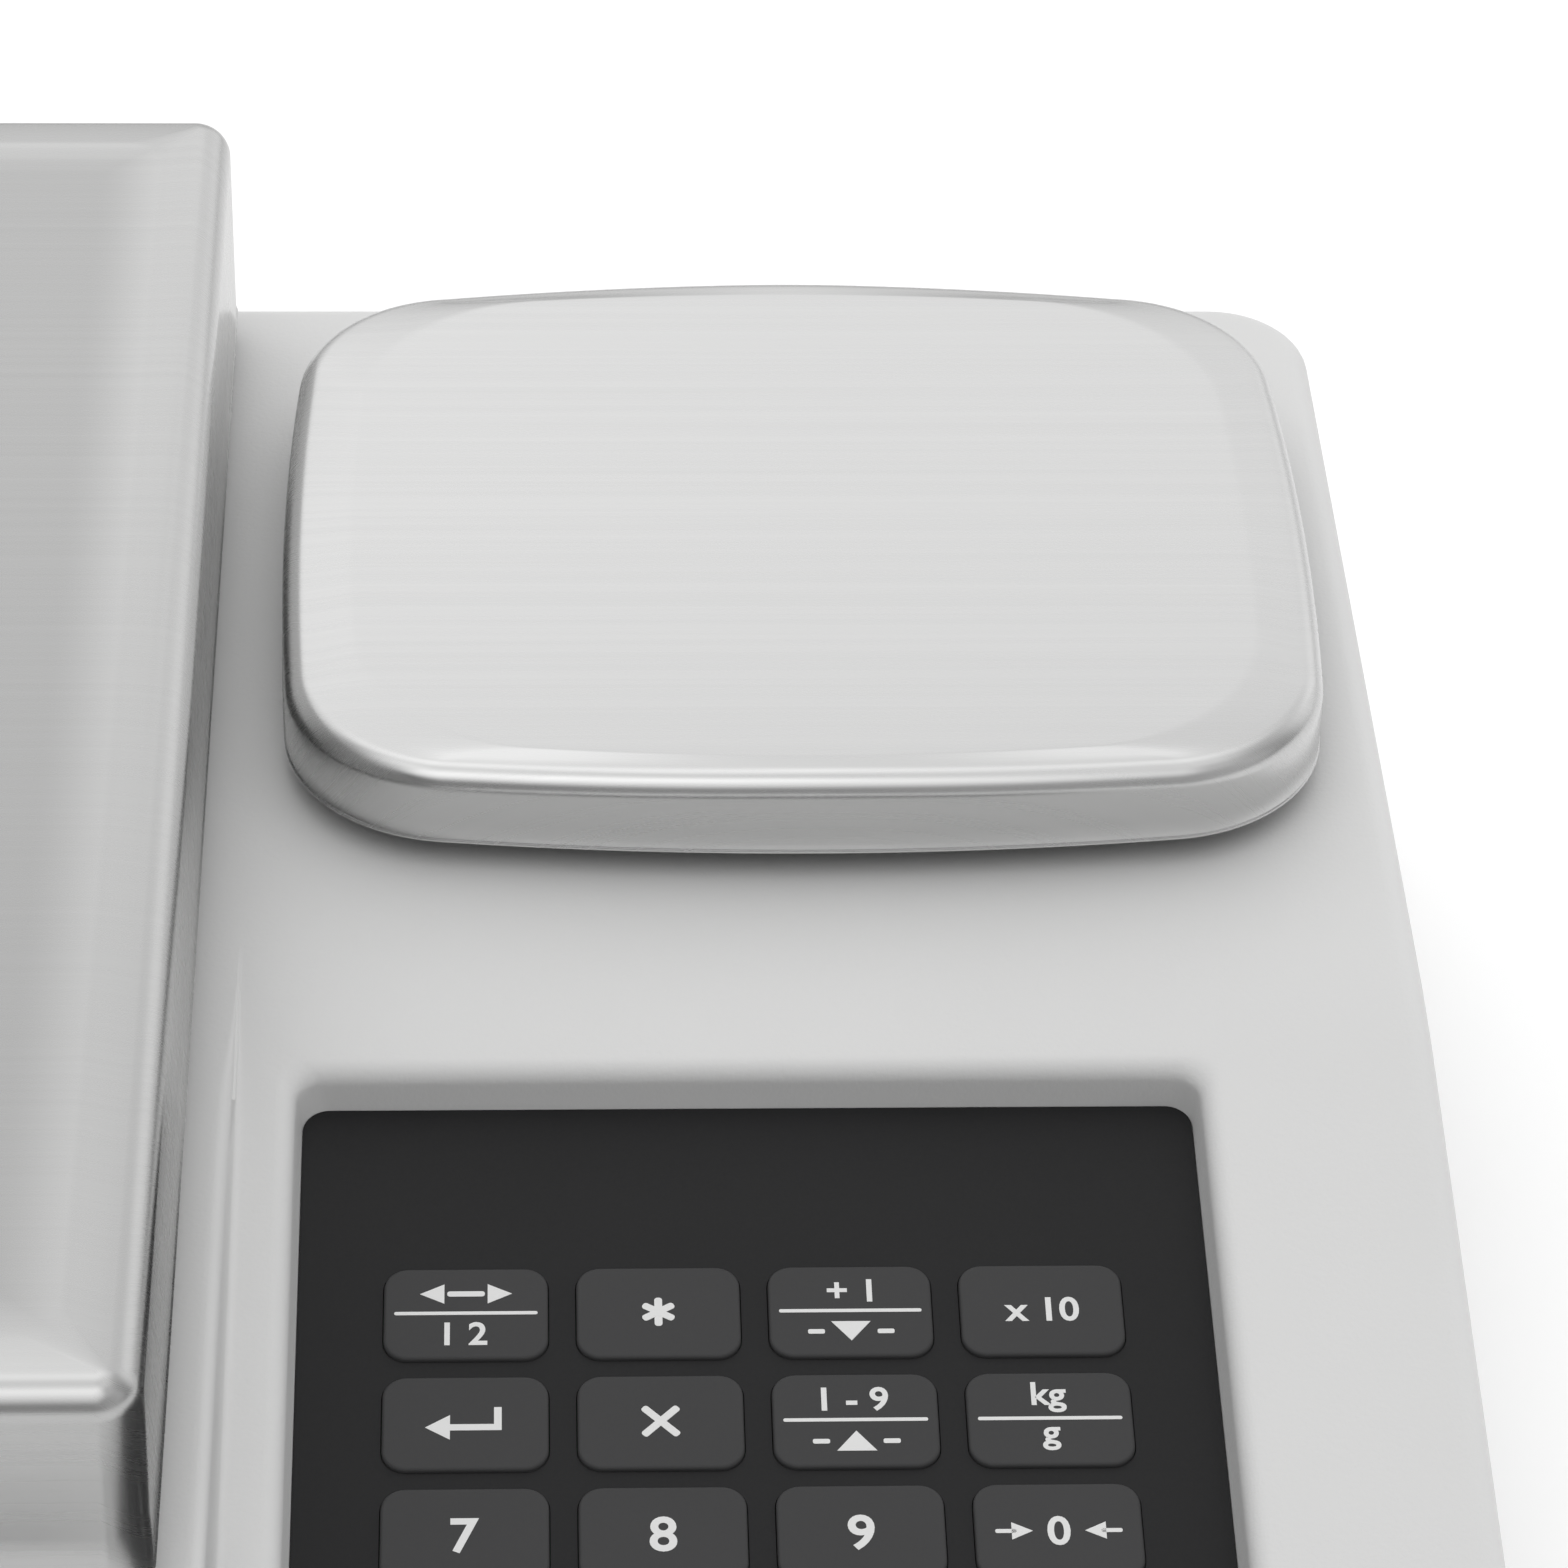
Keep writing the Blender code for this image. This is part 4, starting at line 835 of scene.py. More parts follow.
def ring_shape(cx, cy, r, t, a0=0.0, a1=360.0, n=32):
    outer = [(cx + r * math.cos(math.radians(a0 + (a1 - a0) * k / n)), cy + r * math.sin(math.radians(a0 + (a1 - a0) * k / n))) for k in range(n + 1)]
    inner = [(cx + (r - t) * math.cos(math.radians(a0 + (a1 - a0) * k / n)), cy + (r - t) * math.sin(math.radians(a0 + (a1 - a0) * k / n))) for k in range(n + 1)]
    return outer + inner[::-1]


LEGEND = {
    (0, 0): [("shape", arrow(-3.6, 2.6, 2.6, 2.6, "l")), ("shape", arrow(3.6, 2.6, 2.6, 2.6, "r")), ("shape", bar(-2.0, 2.25, 2.0, 2.95, 0.3)),
             ("shape", bar(-7.6, -0.22, 7.6, 0.22)), ("text", "1 2", 4.2, (0, -2.75))],
    (0, 1): [("shapes", star(0, 0, 1.9, 0.42))],
    (0, 2): [("text", "+ 1", 4.2, (0, 2.7)), ("shape", bar(-7.6, -0.22, 7.6, 0.22)), ("shape", arrow(0, -2.75, 4.2, 2.6, "d")),
             ("shape", bar(-4.6, -3.1, -2.8, -2.5, 0.2)), ("shape", bar(2.8, -3.1, 4.6, -2.5, 0.2))],
    (0, 3): [("text", "x 10", 4.4, (0, 0))],
    (1, 0): [("shape", [(3.8, 2.0), (3.0, 2.0), (3.0, -0.2), (-1.6, -0.2), (-1.6, 1.0), (-4.2, -0.6), (-1.6, -2.2), (-1.6, -1.0), (3.8, -1.0)])],
    (1, 1): [("shapes", [[(x * 0.7071 - y * 0.7071, x * 0.7071 + y * 0.7071) for x, y in rounded(-2.6, -0.42, 2.6, 0.42, 0.3, 4)],
                         [(x * 0.7071 + y * 0.7071, -x * 0.7071 + y * 0.7071) for x, y in rounded(-2.6, -0.42, 2.6, 0.42, 0.3, 4)]])],
    (1, 2): [("text", "1 - 9", 4.2, (0, 2.7)), ("shape", bar(-7.6, -0.22, 7.6, 0.22)), ("shape", arrow(0, -2.75, 4.2, 2.6, "u")),
             ("shape", bar(-4.6, -3.1, -2.8, -2.5, 0.2)), ("shape", bar(2.8, -3.1, 4.6, -2.5, 0.2))],
    (1, 3): [("text", "kg", 4.2, (0, 2.75)), ("shape", bar(-7.6, -0.22, 7.6, 0.22)), ("text", "g", 4.2, (0, -2.7))],
    (2, 3): [("shape", arrow(-3.8, 0, 2.2, 2.2, "r")), ("shape", bar(-6.6, -0.25, -4.4, 0.25)), ("text", "0", 5.0, (0, 0)),
             ("shape", arrow(3.8, 0, 2.2, 2.2, "l")), ("shape", bar(4.4, -0.25, 6.6, 0.25))],
    (3, 3): [("shape", arrow(-3.4, 0, 2.2, 2.2, "r")), ("shape", bar(-6.4, -0.25, -4.2, 0.25)), ("shape", bar(-1.9, 1.2, 1.9, 1.9, 0.2)),
             ("shape", bar(-0.38, -1.9, 0.38, 1.6, 0.2)), ("shape", arrow(3.4, 0, 2.2, 2.2, "l")), ("shape", bar(4.2, -0.25, 6.4, 0.25))],
    (4, 3): [("shape", bar(-3.0, 0.4, 3.0, 2.2, 0.3)), ("shape", bar(-4.2, -1.2, 4.2, 0.2, 0.4)), ("shape", bar(-2.6, -2.6, 2.6, -1.4, 0.2))],
    (5, 0): [("text", "0", 6.0, (0, 0))],
    (5, 1): [("shape", [(0.75 * math.cos(2 * PI * k / 24), 0.75 * math.sin(2 * PI * k / 24)) for k in range(24)])],
    (5, 2): [("shape", arrow(-1.2, 0, 3.6, 3.2, "l")), ("shape", bar(0.2, -0.5, 4.0, 0.5, 0.3))],
    (5, 3): [("shape", ring_shape(0, -0.1, 2.6, 0.6, 125, 415)), ("shape", bar(-0.32, 0.4, 0.32, 3.2, 0.25))],
}
for i, figure in enumerate("789456123"):
    LEGEND[(2 + i // 3, i % 3)] = [("text", figure, 6.0, (0, 0))]

PRINT0, PRINT1 = KEY_TOP - 0.04, KEY_TOP + 0.03
for row in range(6):
    for col in range(4):
        body = "key_r%dc%d" % (row + 1, col + 1)
        kx, kv = key_centre(row, col)
        spot = CONSOLE @ Matrix.Translation((kx * MM, kv * MM, 0))
        bm = made(slab, rect(-KEY_W / 2, -KEY_H / 2, KEY_W / 2, KEY_H / 2, KEY_R, 8), -RECESS - 1.4, KEY_TOP, 0.38, 0.0, 5)
        put(bm, spot)
        piece(raw("cap_r%dc%d" % (row + 1, col + 1), bm), KEY, body, (body,), 40.0)
        bm = bmesh.new()
        for item in LEGEND[(row, col)]:
            if item[0] == "text":
                merge(bm, text(item[1], item[2], PRINT0, PRINT1, 0.02, item[3]))
            elif item[0] == "shape":
                prism(bm, item[1], PRINT0, PRINT1)
            else:
                for k, pts in enumerate(item[1]):
                    prism(bm, pts, PRINT0, PRINT1 + 0.004 * k)
        put(bm, spot)
        piece(raw("print_r%dc%d" % (row + 1, col + 1), bm), INK, body, sharp=30.0)


# ---------------------------------------------------------------- display
bm = made(slab, rect(-92.0, -47.0, 70.0, -11.0, 1.0, 6), -1.2, 0.0, 0.2, 0.0, 3)
put(bm, FRONT)
piece(raw("display_lens", bm), LENS, "housing", ("display_window",), 35.0)
FIELDS = ((-84.5, -38.0, "0.0000"), (-34.0, 12.5, "0.00000"), (16.5, 62.5, "0"))
mask = [rounded(-90.5, -46, 68.5, -12, 0.8, 3)] + [rounded(x0, -39.5, x1, -18.5, 1.0, 5) for x0, x1, _ in FIELDS]
bm = outline("mask", mask, -3.0, -2.75)
put(bm, FRONT)
piece(raw("display_mask", bm), DARK, "housing", sharp=30.0)

SEGMENTS = {"0": "abcdef", "1": "bc", "2": "abged", "3": "abgcd", "4": "fgbc", "5": "afgcd", "6": "afgedc", "7": "abc", "8": "abcdefg", "9": "abcdfg"}


def figure7(bm, ch, x, y, w, h, t, z0, z1):
    """A seven segment figure from mitred bars, leaning a little."""
    g = t * 0.12
    m, top = h / 2, h
    bars = {
        "a": [(g, top), (w - g, top), (w - t - g, top - t), (t + g, top - t)],
        "g": [(t / 2 + g, m), (t + g, m + t / 2), (w - t - g, m + t / 2), (w - t / 2 - g, m), (w - t - g, m - t / 2), (t + g, m - t / 2)],
        "d": [(g, 0), (t + g, t), (w - t - g, t), (w - g, 0)],
        "f": [(0, top - g), (t, top - t - g), (t, m + t / 2 + g), (t / 2, m + g), (0, m + t / 2)],
        "b": [(w, top - g), (w, m + t / 2), (w - t / 2, m + g), (w - t, m + t / 2 + g), (w - t, top - t - g)],
        "e": [(0, g), (0, m - t / 2), (t / 2, m - g), (t, m - t / 2 - g), (t, t + g)],
        "c": [(w, g), (w - t, t + g), (w - t, m - t / 2 - g), (w - t / 2, m - g), (w, m - t / 2)],
    }
    for s in SEGMENTS[ch]:
        prism(bm, [(x + px + (py - m) * 0.09, y + py) for px, py in bars[s]], z0, z1)


bm = bmesh.new()
for x0, x1, figures in FIELDS:
    pitch, w, h = 6.6, 4.9, 11.5
    x = x1 - 3.2
    for ch in reversed(figures):
        if ch == ".":
            prism(bm, rounded(x + w + 0.25, -34.4, x + w + 1.35, -33.3, 0.3, 3), -3.19, -3.12)
            continue
        x -= pitch
        figure7(bm, ch, x + 1.0, -34.4, w, h, 1.15, -3.19, -3.12)
        x0 = x
    prism(bm, arrow(x1 - 4.6, -21.0, 2.0, 1.7, "d"), -3.19, -3.12)
put(bm, FRONT)
piece(raw("display_figures", bm), SEGMENT, "housing", sharp=30.0)


# ---------------------------------------------------------------- label printer
HINGE = (-6.0, -2.5)


def door_parts():
    bm = made(slab, rect(-201.6, -50.6, -118.4, -5.4, 1.6, 6), -2.5, 0.0, 0.7, 0.3, 4)
    # a thumb ridge of five bars across the free edge
    for k in range(5):
        y = -48.4 + k * 1.9
        slab_bm = made(slab, rect(-176.0, y, -144.0, y + 1.1, 0.5, 4), -0.6, 0.55, 0.4, 0.0, 4)
        merge(bm, slab_bm)
    return bm


bm = door_parts()
put(bm, FRONT)
door = raw("door_panel", bm)
extra = []
bm = made(tube, (-201.6, HINGE[0], HINGE[1]), (-118.4, HINGE[0], HINGE[1]), 2.5, 48)
put(bm, FRONT)
extra.append(raw("door_barrel", bm))
for k, (x0, x1) in enumerate(((-199.6, -197.4), (-126.4, -124.4))):
    pts = [(-36, -1.6), (-49.5, -1.6), (-49.8, -11.5), (-43, -11.5)]
    bm = made(side, pts, x0, x1)
    put(bm, FRONT)
    extra.append(raw("door_rib_%d" % k, bm))
carve(door, extra, "UNION", "EXACT")
drill = [made(tube, (-210, HINGE[0], HINGE[1]), (-110, HINGE[0], HINGE[1]), 1.3, 24), made(tube, (-210, -46.0, -8.0), (-110, -46.0, -8.0), 2.5, 32)]
cutters = []
for k, bm in enumerate(drill):
    put(bm, FRONT)
    cutters.append(raw("door_drill_%d" % k, bm))
carve(door, cutters, solver="EXACT")
piece(door, CASE, "printer_door", ("printer_door",), 30.0)

# a small arrow that says which way the flap lifts
bm = bmesh.new()
prism(bm, arrow(-160, -33.5, 6.0, 4.0, "u"), -0.03, 0.03)
prism(bm, bar(-163, -38.2, -157, -36.9, 0.3), -0.03, 0.03)
put(bm, FRONT)
piece(raw("door_mark", bm), DARK, "printer_door", sharp=30.0)

# the roll of labels: wound layers on a card core
bm = bmesh.new()
prof = [(7.9, -190.0)]
for k in range(26):
    r = 7.9 + (21.0 - 7.9) * k / 26
    prof += [(r + 0.06, -190.0 + (0.10 if k % 2 else 0.0)), (r + 0.44, -190.0 + (0.10 if k % 2 else 0.0))]
prof += [(20.8, -189.95), (21.0, -189.75)]
back_side = [(r, -322.0 - z) for r, z in reversed(prof)]
loops = []
for r, x in prof + back_side:
    loops.append([(x, -97 + r * math.cos(2 * PI * k / 96), 40 + r * math.sin(2 * PI * k / 96)) for k in range(96)])
rings = loft(bm, loops, False)
for i in range(96):
    j = (i + 1) % 96
    bm.faces.new((rings[-1][i], rings[-1][j], rings[0][j], rings[0][i]))
piece(raw("label_roll_paper", bm), PAPER, "label_roll", ("label_roll",), 25.0)
bm = bmesh.new()
loops = [[(x, -97 + r * math.cos(2 * PI * k / 64), 40 + r * math.sin(2 * PI * k / 64)) for k in range(64)]
         for r, x in ((6.8, -190.4), (6.8, -131.6), (7.82, -131.6), (7.82, -190.4))]
rings = loft(bm, loops, False)
for i in range(64):
    j = (i + 1) % 64
    bm.faces.new((rings[-1][i], rings[-1][j], rings[0][j], rings[0][i]))
piece(raw("label_roll_core", bm), CARD, "label_roll", sharp=40.0)

# the strip from the roll, through the nip and out of the slot
path = [(-113.7, 27.0), (-117.2, 31.6), (-121.1, 36.85), (-124.2, 37.95), (-127.3, 39.05), (-131.2, 40.9), (-134.1, 43.4), (-136.0, 46.3), (-137.3, 49.6)]


def smooth_path(points, n):
    out = []
    for i in range(len(points) - 1):
        p0, p1, p2, p3 = (Vector(points[min(max(i + k, 0), len(points) - 1)]) for k in (-1, 0, 1, 2))
        for k in range(n):
            t = k / n
            out.append(0.5 * ((2 * p1) + (p2 - p0) * t + (2 * p0 - 5 * p1 + 4 * p2 - p3) * t * t + (3 * p1 - p0 - 3 * p2 + p3) * t ** 3))
    return out + [Vector(points[-1])]


def strip(bm, points, x0, x1, thick, lift=0.0):
    upper, lower = [], []
    for i, p in enumerate(points):
        d = (points[min(i + 1, len(points) - 1)] - points[max(i - 1, 0)]).normalized()
        nrm = Vector((-d.y, d.x)) * -1.0
        upper.append(p + nrm * (thick / 2 + lift))
        lower.append(p - nrm * (thick / 2 - lift))
    loop = upper + lower[::-1]
    n = len(points)
    a = [bm.verts.new((x0 * MM, p.x * MM, p.y * MM)) for p in loop]
    b = [bm.verts.new((x1 * MM, p.x * MM, p.y * MM)) for p in loop]
    for i in range(len(loop)):
        j = (i + 1) % len(loop)
        bm.faces.new((a[i], a[j], b[j], b[i]))
    for side_verts in (a, b):
        for i in range(n - 1):
            bm.faces.new((side_verts[i], side_verts[i + 1], side_verts[2 * n - 2 - i], side_verts[2 * n - 1 - i]))


web = smooth_path(path, 6)
bm = bmesh.new()
strip(bm, web, -189.5, -132.5, 0.10)
piece(raw("label_strip", bm), PAPER, "housing", sharp=40.0)

# feed button: a round cap with a rounded top edge on a flange, and a plain mark
bm = made(slab, disc(-105.0, -30.0, 4.4, 64), -5.2, 0.8, 0.7, 0.0, 6)
merge(bm, made(slab, disc(-105.0, -30.0, 6.2, 48), -5.2, -3.2, 0.2, 0.2, 3))
put(bm, FRONT)
piece(raw("feed_cap", bm), DARK, "feed_button", ("feed_button",), 35.0)
bm = bmesh.new()
prism(bm, arrow(-105, -29.2, 2.6, 2.0, "u"), 0.77, 0.83)
prism(bm, bar(-106.6, -31.9, -103.4, -31.3, 0.2), 0.77, 0.83)
put(bm, FRONT)
piece(raw("feed_mark", bm), INK, "feed_button", sharp=30.0)


# ---------------------------------------------------------------- power fittings
bm = bmesh.new()
rock = [(-1.5, 9.6), (-5.2, 9.6), (-8.5, 3.0), (-8.5, -3.0), (-8.0, -9.6), (-4.4, -9.6)]
curve_face = []
for k in range(0, 17):      # a shallow hollow on each half, meeting at the middle
    y = -9.6 + 19.2 * k / 16
    f = abs(y) / 9.6
    end = -1.5 if y > 0 else -4.4
    curve_face.append((0.2 + (end - 0.2) * f - 0.55 * math.sin(PI * f) * (1 if 0 < f < 1 else 0), y))
face = rock[:-1] + curve_face[0:]
face = [(x, y) for x, y in rock[1:5]] + [(x, y) for x, y in curve_face]


def rocker_shape(i):
    pts = []
    for x, y in face:
        pts.append((x - (i if x > -4.3 or abs(y) < 9 else 0) * 0.6, y * (1 - i / 9.6)))
    return pts


slab(bm, rocker_shape, -6.2, 6.2, 0.5, 0.5, 4)
put(bm, Matrix.Translation((214 * MM, 60 * MM, 38 * MM)))
piece(raw("rocker_cap", bm), DARK, "power_switch", ("power_switch",), 35.0)


def rocker_point(y):
    f = abs(y) / 9.6
    end = -1.5 if y > 0 else -4.4
    return 0.2 + (end - 0.2) * f - 0.55 * math.sin(PI * f)


bm = bmesh.new()
for y0, kind in ((5.2, "bar"), (-5.2, "ring")):
    x = rocker_point(y0)
    slope_a = math.atan2(rocker_point(y0 + 0.5) - rocker_point(y0 - 0.5), 1.0)
    part = bmesh.new()
    if kind == "bar":
        prism(part, bar(-0.4, -2.0, 0.4, 2.0, 0.3), -0.05, 0.09)
    else:
        prism(part, ring_shape(0, 0, 2.1, 0.6, 0, 359.9, 40), -0.05, 0.09)
    m = Matrix(((0, 0, 1, 0), (1, 0, 0, 0), (0, 1, 0, 0), (0, 0, 0, 1)))
    put(part, Matrix.Translation(((214 + x) * MM, (60 + y0) * MM, 38 * MM)) @ Matrix.Rotation(-slope_a, 4, "Z") @ m)
    merge(bm, part)
piece(raw("rocker_marks", bm), INK, "power_switch", sharp=30.0)

bm = bmesh.new()
outer = rect(-13.0, -9.0, 13.0, 9.0, 1.6, 6)
inner = rounded(-10.6, -6.6, 10.6, 6.6, 0.8, 6)
loops = [at(inner, -1.9), at(rounded(-10.75, -6.75, 10.75, 6.75, 0.85, 6), -1.9), at(rounded(-10.75, -6.75, 10.75, 6.75, 0.85, 6), 0.05), at(outer(0.0), 0.05)]
for k in range(6):
    a = k / 5 * PI / 2
    loops.append(at(outer(0.9 * (1 - math.cos(a))), 0.15 + 0.9 * math.sin(a)))
loops += [at(rounded(-10.9, -6.9, 10.9, 6.9, 0.9, 6), 1.05), at(inner, 0.7)]
rings = loft(bm, loops, False)
for i in range(len(rings[0])):
    j = (i + 1) % len(rings[0])
    bm.faces.new((rings[-1][i], rings[-1][j], rings[0][j], rings[0][i]))
put(bm, RIGHT)
piece(raw("switch_bezel", bm), DARK, "housing", sharp=35.0)

bm = made(slab, rect(-17.0, -12.6, 17.0, 12.6, 2.0, 6), 0.05, 1.5, 0.6, 0.0, 4)
merge(bm, made(prism, rounded(-14.0, -10.0, 14.0, 10.0, 1.0, 4), -24.0, 0.3))
put(bm, BACK)
inlet = raw("inlet_body", bm)
cavity = made(prism, [(-11.5, -7), (11.5, -7), (11.5, 3.5), (8, 7), (-8, 7), (-11.5, 3.5)], -18.0, 5.0)
put(cavity, BACK)
carve(inlet, [raw("inlet_cavity", cavity)], solver="EXACT")
piece(inlet, DARK, "housing", ("power_inlet",), 30.0)
bm = bmesh.new()
for k in (-1, 0, 1):
    dz = 2.6 if k == 0 else 0.0
    merge(bm, made(slab, rect(k * 6.5 - 1.0, -2.0 + dz, k * 6.5 + 1.0, 2.0 + dz, 0.2, 3), -17.9, -6.0, 0.3, 0.0, 3))
put(bm, BACK)
piece(raw("inlet_blades", bm), ZINC, "housing", sharp=35.0)


# ---------------------------------------------------------------- feet, screws, level
def foot(bm):
    n = 72
    prof = [(0, 24.0), (3.3, 24.0), (3.9, 23.4)]
    z = 23.0
    while z > 10.2:
        prof += [(3.55, z - 0.35), (3.95, z - 0.75)]
        z -= 0.8
    prof += [(3.95, 9.0)]
    lathe(bm, prof + [(0, 9.0)], 24)
    ring_loops = []
    for r, zz, wave in ((3.9, 9.0, 0), (8.2, 9.0, 0), (9.4, 8.7, 0.25), (10.1, 8.0, 0.55), (10.3, 7.0, 0.55), (10.3, 5.4, 0.55), (10.2, 4.6, 0.3), (10.6, 4.2, 0),
                        (11.2, 3.6, 0), (11.5, 2.6, 0), (11.5, 1.2, 0), (11.2, 0.5, 0), (10.6, 0.06, 0), (9.6, 0.0, 0), (4.0, 0.0, 0)):
        ring_loops.append([((r - wave * (k % 4 in (0, 1))) * math.cos(2 * PI * k / n), (r - wave * (k % 4 in (0, 1))) * math.sin(2 * PI * k / n), zz) for k in range(n)])
    loft(bm, ring_loops)


for name, (x, y) in {"front_left": (-201, -114), "front_right": (201, -114), "rear_left": (-201, 114), "rear_right": (201, 114)}.items():
    bm = made(foot)
    put(bm, Matrix.Translation((x * MM, y * MM, 0)))
    piece(raw("levelling_foot_" + name, bm), RUBBER, "foot_" + name, ("foot_" + name,), 40.0)

bm = bmesh.new()
for x, y in ((-203, 131), (60, 132), (203, 131), (203, -131), (70, -136), (-205, -62)):
    head = made(lathe, [(0, 8.4), (0.55, 8.4), (0.6, 7.6), (1.9, 7.55), (3.0, 7.9), (3.5, 8.6), (3.6, 9.4), (3.6, 9.95), (1.7, 9.95), (1.7, 13.0), (0, 13.0)], 32, (x, y))
    merge(bm, head)
piece(raw("case_screws", bm), ZINC, "housing", sharp=35.0)

bm = made(lathe, [(0, 80.6), (5.6, 80.6), (5.6, 81.2), (6.6, 81.2), (7.3, 80.7), (7.85, 80.0), (7.9, 79.6), (7.9, 71.2), (0, 71.0)], 64, (-66.9, -62.0))
piece(raw("level_body", bm), DARK, "housing", ("bubble_level",), 35.0)
bm = made(lathe, [(0, 81.05), (3.0, 81.0), (5.2, 80.85), (5.5, 80.62), (0, 80.62)], 64, (-66.9, -62.0))
piece(raw("level_vial", bm), VIAL, "housing", sharp=40.0)
bm = bmesh.new()
lathe(bm, [(0, 81.12), (1.3, 81.1), (1.75, 81.04), (1.8, 80.9), (0, 80.9)], 32, (-66.5, -62.2))
piece(raw("level_bubble", bm), PAPER, "housing", sharp=40.0)


# ---------------------------------------------------------------- inside pieces that show when pans lift or the door opens
def dress(name, mat, bevel=0.0, segments=2):
    """A frame node that keeps its own shape, with its finish and slightly broken edges."""
    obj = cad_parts[name]
    obj.data.materials.clear()
    obj.data.materials.append(mat)
    if bevel:
        w = obj.modifiers.new("weld", "WELD")
        w.merge_threshold = 1e-6
        b = obj.modifiers.new("edges", "BEVEL")
        b.width = bevel * MM
        b.segments = segments
        b.limit_method = "ANGLE"
        b.angle_limit = math.radians(50)
        b.harden_normals = False


for name, mat, bevel in (("base_plate", DARK, 0.0), ("main_spider", ALU, 0.8), ("main_pan_seats", RUBBER, 0.4), ("sub_pan_carrier", ALU, 0.6), ("sub_pan_seats", RUBBER, 0.3),
                         ("main_cell_bracket", ALU, 0.0), ("main_load_cell", ALU, 0.0), ("sub_load_cell", ALU, 0.0), ("keypad_board", BOARD, 0.0), ("lcd_glass", LCD, 0.0),
                         ("display_board", BOARD, 0.0), ("printer_frame", DARK, 0.3), ("door_hinge_pin", ZINC, 0.0), ("feed_motor", ZINC, 0.3), ("print_head", HEAD, 0.2),
                         ("main_board", BOARD, 0.0), ("battery", CELL, 0.0), ("platen_roller", RUBBER, 0.0), ("platen_gear", NYLON, 0.0), ("drive_gear", NYLON, 0.0)):
    dress(name, mat, bevel)

# screws that hold the spider and the carrier to the load cells
bm = bmesh.new()
for x in (-30, -14):
    for y in (19, 35):
        merge(bm, made(lathe, [(0, 97.6), (4.2, 97.6), (4.4, 97.8), (4.4, 101.0), (4.0, 101.5), (2.5, 101.5), (2.4, 99.2), (0, 99.2)], 32, (x, y)))
piece(raw("spider_screws", bm), ZINC, "main_platform", sharp=35.0)
bm = bmesh.new()
for x in (142.2, 153.2):
    merge(bm, made(lathe, [(0, 88.45), (3.0, 88.45), (3.2, 88.6), (3.2, 90.6), (2.9, 91.0), (1.8, 91.0), (1.7, 89.6), (0, 89.6)], 32, (x, 63.4)))
piece(raw("carrier_screws", bm), ZINC, "sub_platform", sharp=35.0)


# ---------------------------------------------------------------- stage, light and camera
def build_stage():
    bm = bmesh.new()
    bmesh.ops.create_grid(bm, x_segments=1, y_segments=1, size=6.0)
    obj = raw("floor", bm)
    m, nt, b = shader("pale_floor", (0.90, 0.90, 0.90), 0.9, 0.0, Specular_IOR_Level=0.1)
    b.inputs["Emission Color"].default_value = (1.0, 1.0, 1.0, 1.0)
    coord = node(nt, "ShaderNodeTexCoord")
    length = node(nt, "ShaderNodeVectorMath", operation="LENGTH")
    nt.links.new(coord.outputs["Object"], length.inputs[0])
    fall = node(nt, "ShaderNodeMapRange")
    fall.inputs["From Min"].default_value = 0.55
    fall.inputs["From Max"].default_value = 1.6
    fall.inputs["To Min"].default_value = FLOOR_GLOW
    fall.inputs["To Max"].default_value = 0.0
    fall.interpolation_type = "SMOOTHSTEP"
    nt.links.new(length.outputs["Value"], fall.inputs["Value"])
    nt.links.new(fall.outputs["Result"], b.inputs["Emission Strength"])
    obj.data.materials.append(m)


FLOOR_GLOW = 0.175
build_stage()

world = bpy.data.worlds.new("studio")
scene.world = world
world.use_nodes = True
wnt = world.node_tree
wnt.nodes.clear()
out = node(wnt, "ShaderNodeOutputWorld")
bg = node(wnt, "ShaderNodeBackground")
wnt.links.new(bg.outputs[0], out.inputs[0])
coord = node(wnt, "ShaderNodeTexCoord")


def ease(value, first, last, low, high):
    n = node(wnt, "ShaderNodeMapRange")
    n.interpolation_type = "SMOOTHSTEP"
    for key, v in (("From Min", first), ("From Max", last), ("To Min", low), ("To Max", high)):
        n.inputs[key].default_value = v
    wnt.links.new(value, n.inputs["Value"])
    return n.outputs["Result"]


def math_node(kind, a, b):
    n = node(wnt, "ShaderNodeMath", operation=kind)
    for k, v in enumerate((a, b)):
        if isinstance(v, float):
            n.inputs[k].default_value = v
        else:
            wnt.links.new(v, n.inputs[k])
    return n.outputs[0]


def lobe(way, first, last, amount):
    """A soft round light in the sky, from the angle of full light to the angle of none, in degrees."""
    d = Vector(way).normalized()
    n = node(wnt, "ShaderNodeVectorMath", operation="DOT_PRODUCT")
    n.inputs[1].default_value = d
    wnt.links.new(coord.outputs["Generated"], n.inputs[0])
    return ease(n.outputs["Value"], math.cos(math.radians(last)), math.cos(math.radians(first)), 0.0, amount)


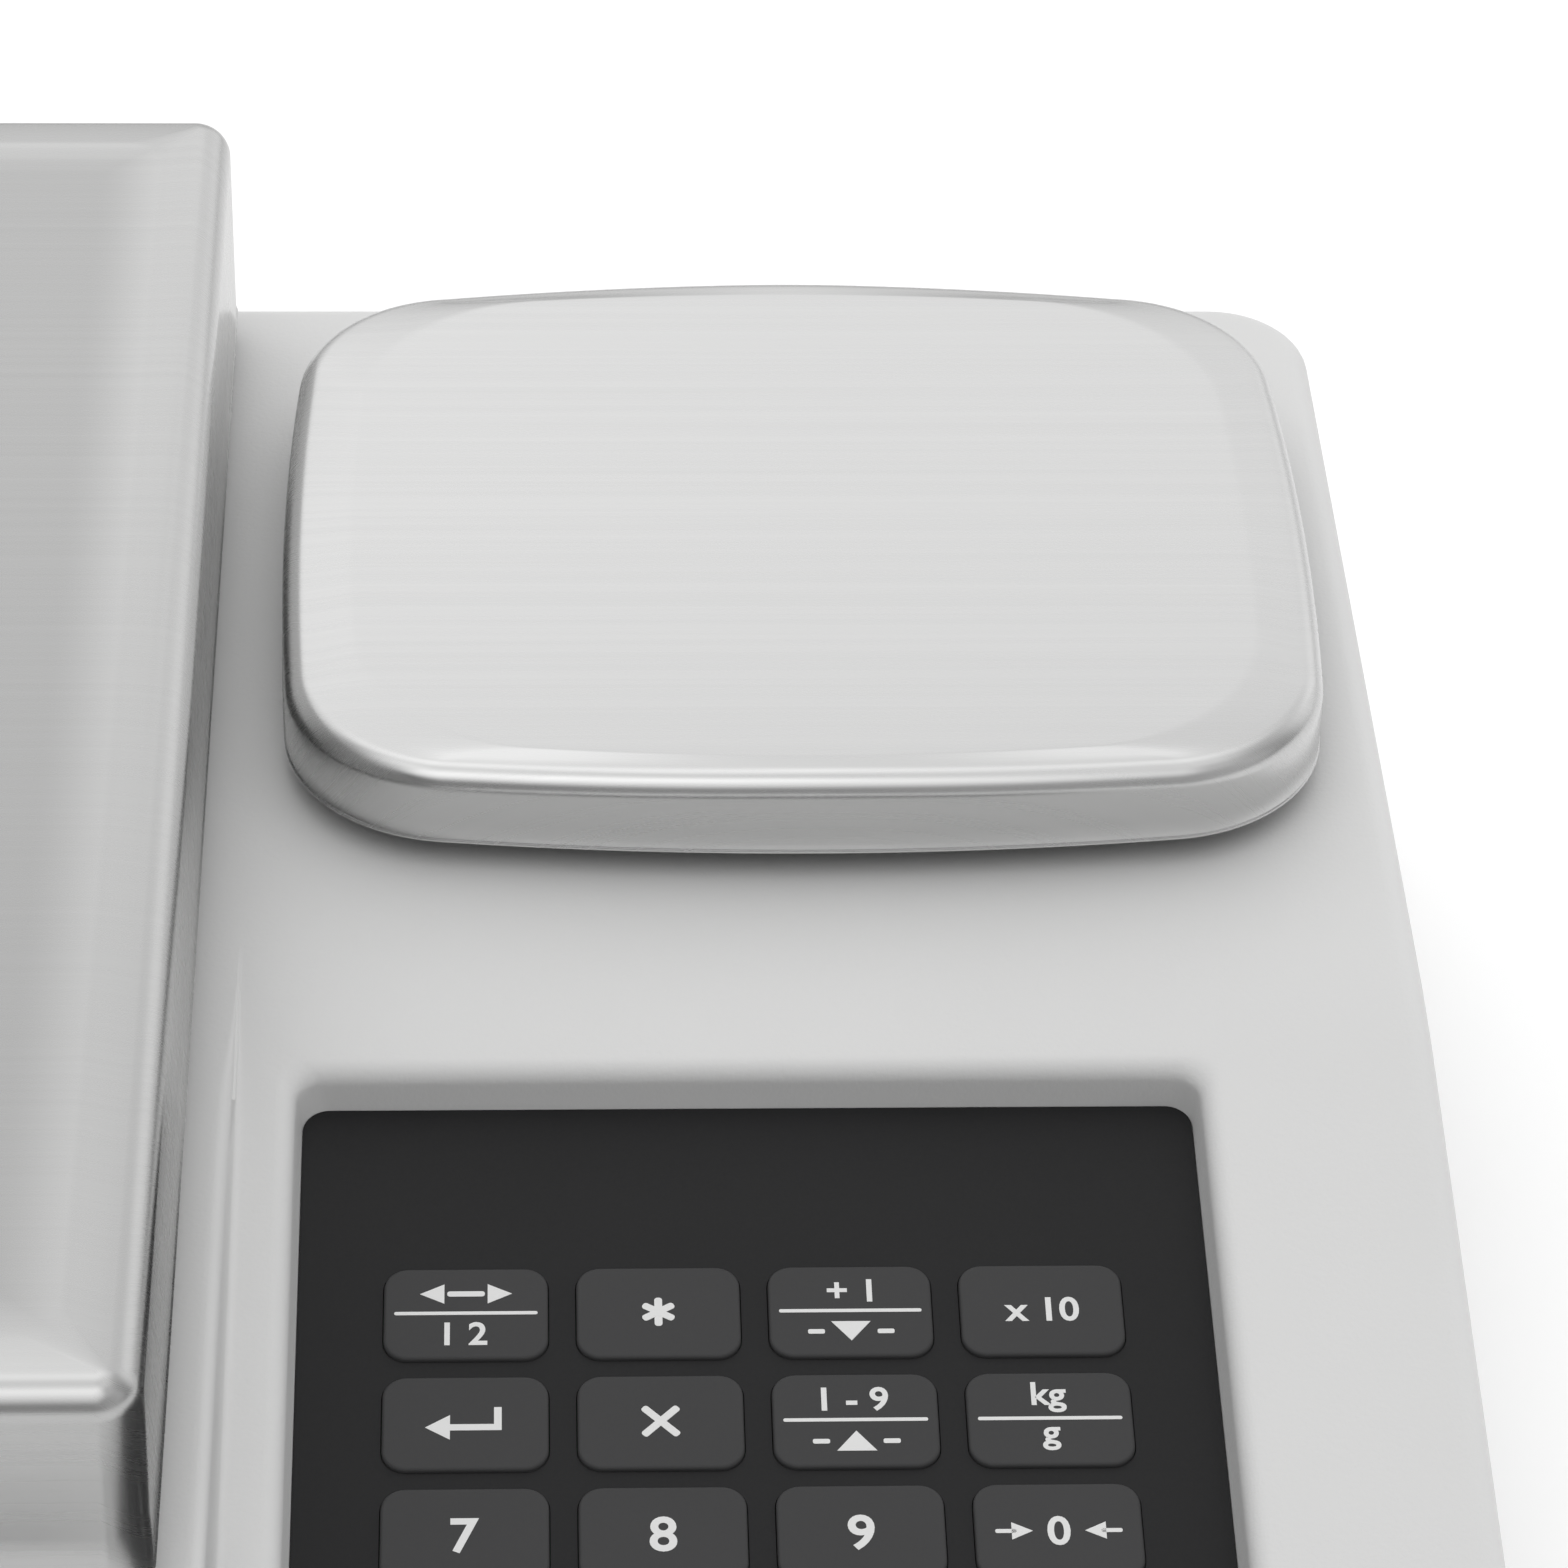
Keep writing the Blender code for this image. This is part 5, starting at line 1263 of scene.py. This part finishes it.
# a plain soft studio: an even ground light and wide round patches, each by height, turn from straight behind, reach and brightness
EVEN = 0.08
SKY = (
    (12, 0, 40, 0.38), (12, 300, 45, 0.56), (12, 48, 40, 0.74), (30, 80, 50, 0.36), (34, 0, 30, 0.27), (34, 320, 36, 0.26),
    (60, 0, 40, 0.66), (60, 60, 42, 0.22), (60, 300, 42, 0.40), (90, 0, 40, 0.56),
    (47, 183, 28, 1.20), (56, 222, 30, 0.76), (58, 140, 30, 0.48), (10, 180, 26, 0.28), (16, 135, 40, 0.46),
)
sky = None
for height, turn, reach, amount in SKY:
    h, t = math.radians(height), math.radians(turn)
    patch = lobe((math.sin(t) * math.cos(h), math.cos(t) * math.cos(h), math.sin(h)), 0.0, reach, amount)
    sky = math_node("ADD", patch, EVEN if sky is None else sky)
# what the camera sees past the floor is a plain pale backdrop
path = node(wnt, "ShaderNodeLightPath").outputs["Is Camera Ray"]
sky = math_node("ADD", math_node("MULTIPLY", sky, math_node("SUBTRACT", 1.0, path)), math_node("MULTIPLY", path, 0.97))
wnt.links.new(sky, bg.inputs["Color"])
bg.inputs["Strength"].default_value = 1.0

# a low soft panel close behind, so the back of the deck is lit more than the front
panel = bpy.data.lights.new("back_panel", "AREA")
panel.shape = "RECTANGLE"
panel.size, panel.size_y = 1.1, 0.24
panel.energy = 0.24
panel_at = bpy.data.objects.new("back_panel", panel)
panel_at.location = (0.05, 0.40, 0.24)
panel_at.rotation_euler = (math.radians(-75.0), 0.0, 0.0)
panel_at.visible_camera = False
scene.collection.objects.link(panel_at)

# the camera, from its place and angles
cam_data = bpy.data.cameras.new("camera")
cam = bpy.data.objects.new("camera", cam_data)
scene.collection.objects.link(cam)
scene.camera = cam
cam_data.sensor_fit = "AUTO"
cam_data.sensor_width = 36.0
cam_data.lens = 136.99
cam_data.clip_start, cam_data.clip_end = 0.02, 50.0
CAM_AT, CAM_DOWN, CAM_YAW, CAM_ROLL = (115.09, -499.15, 503.20), math.radians(37.882), math.radians(3.122), math.radians(1.726)
fw = Vector((math.sin(CAM_YAW) * math.cos(CAM_DOWN), math.cos(CAM_YAW) * math.cos(CAM_DOWN), -math.sin(CAM_DOWN)))
rt = fw.cross(Vector((0, 0, 1))).normalized()
up = rt.cross(fw)
c, s = math.cos(CAM_ROLL), math.sin(CAM_ROLL)
r2, u2 = rt * c + up * s, up * c - rt * s
cam.matrix_world = Matrix(((r2.x, u2.x, -fw.x, CAM_AT[0] * MM), (r2.y, u2.y, -fw.y, CAM_AT[1] * MM), (r2.z, u2.z, -fw.z, CAM_AT[2] * MM), (0, 0, 0, 1)))

scene.view_settings.view_transform = "Standard"
scene.view_settings.look = "None"
scene.view_settings.exposure = 0.0
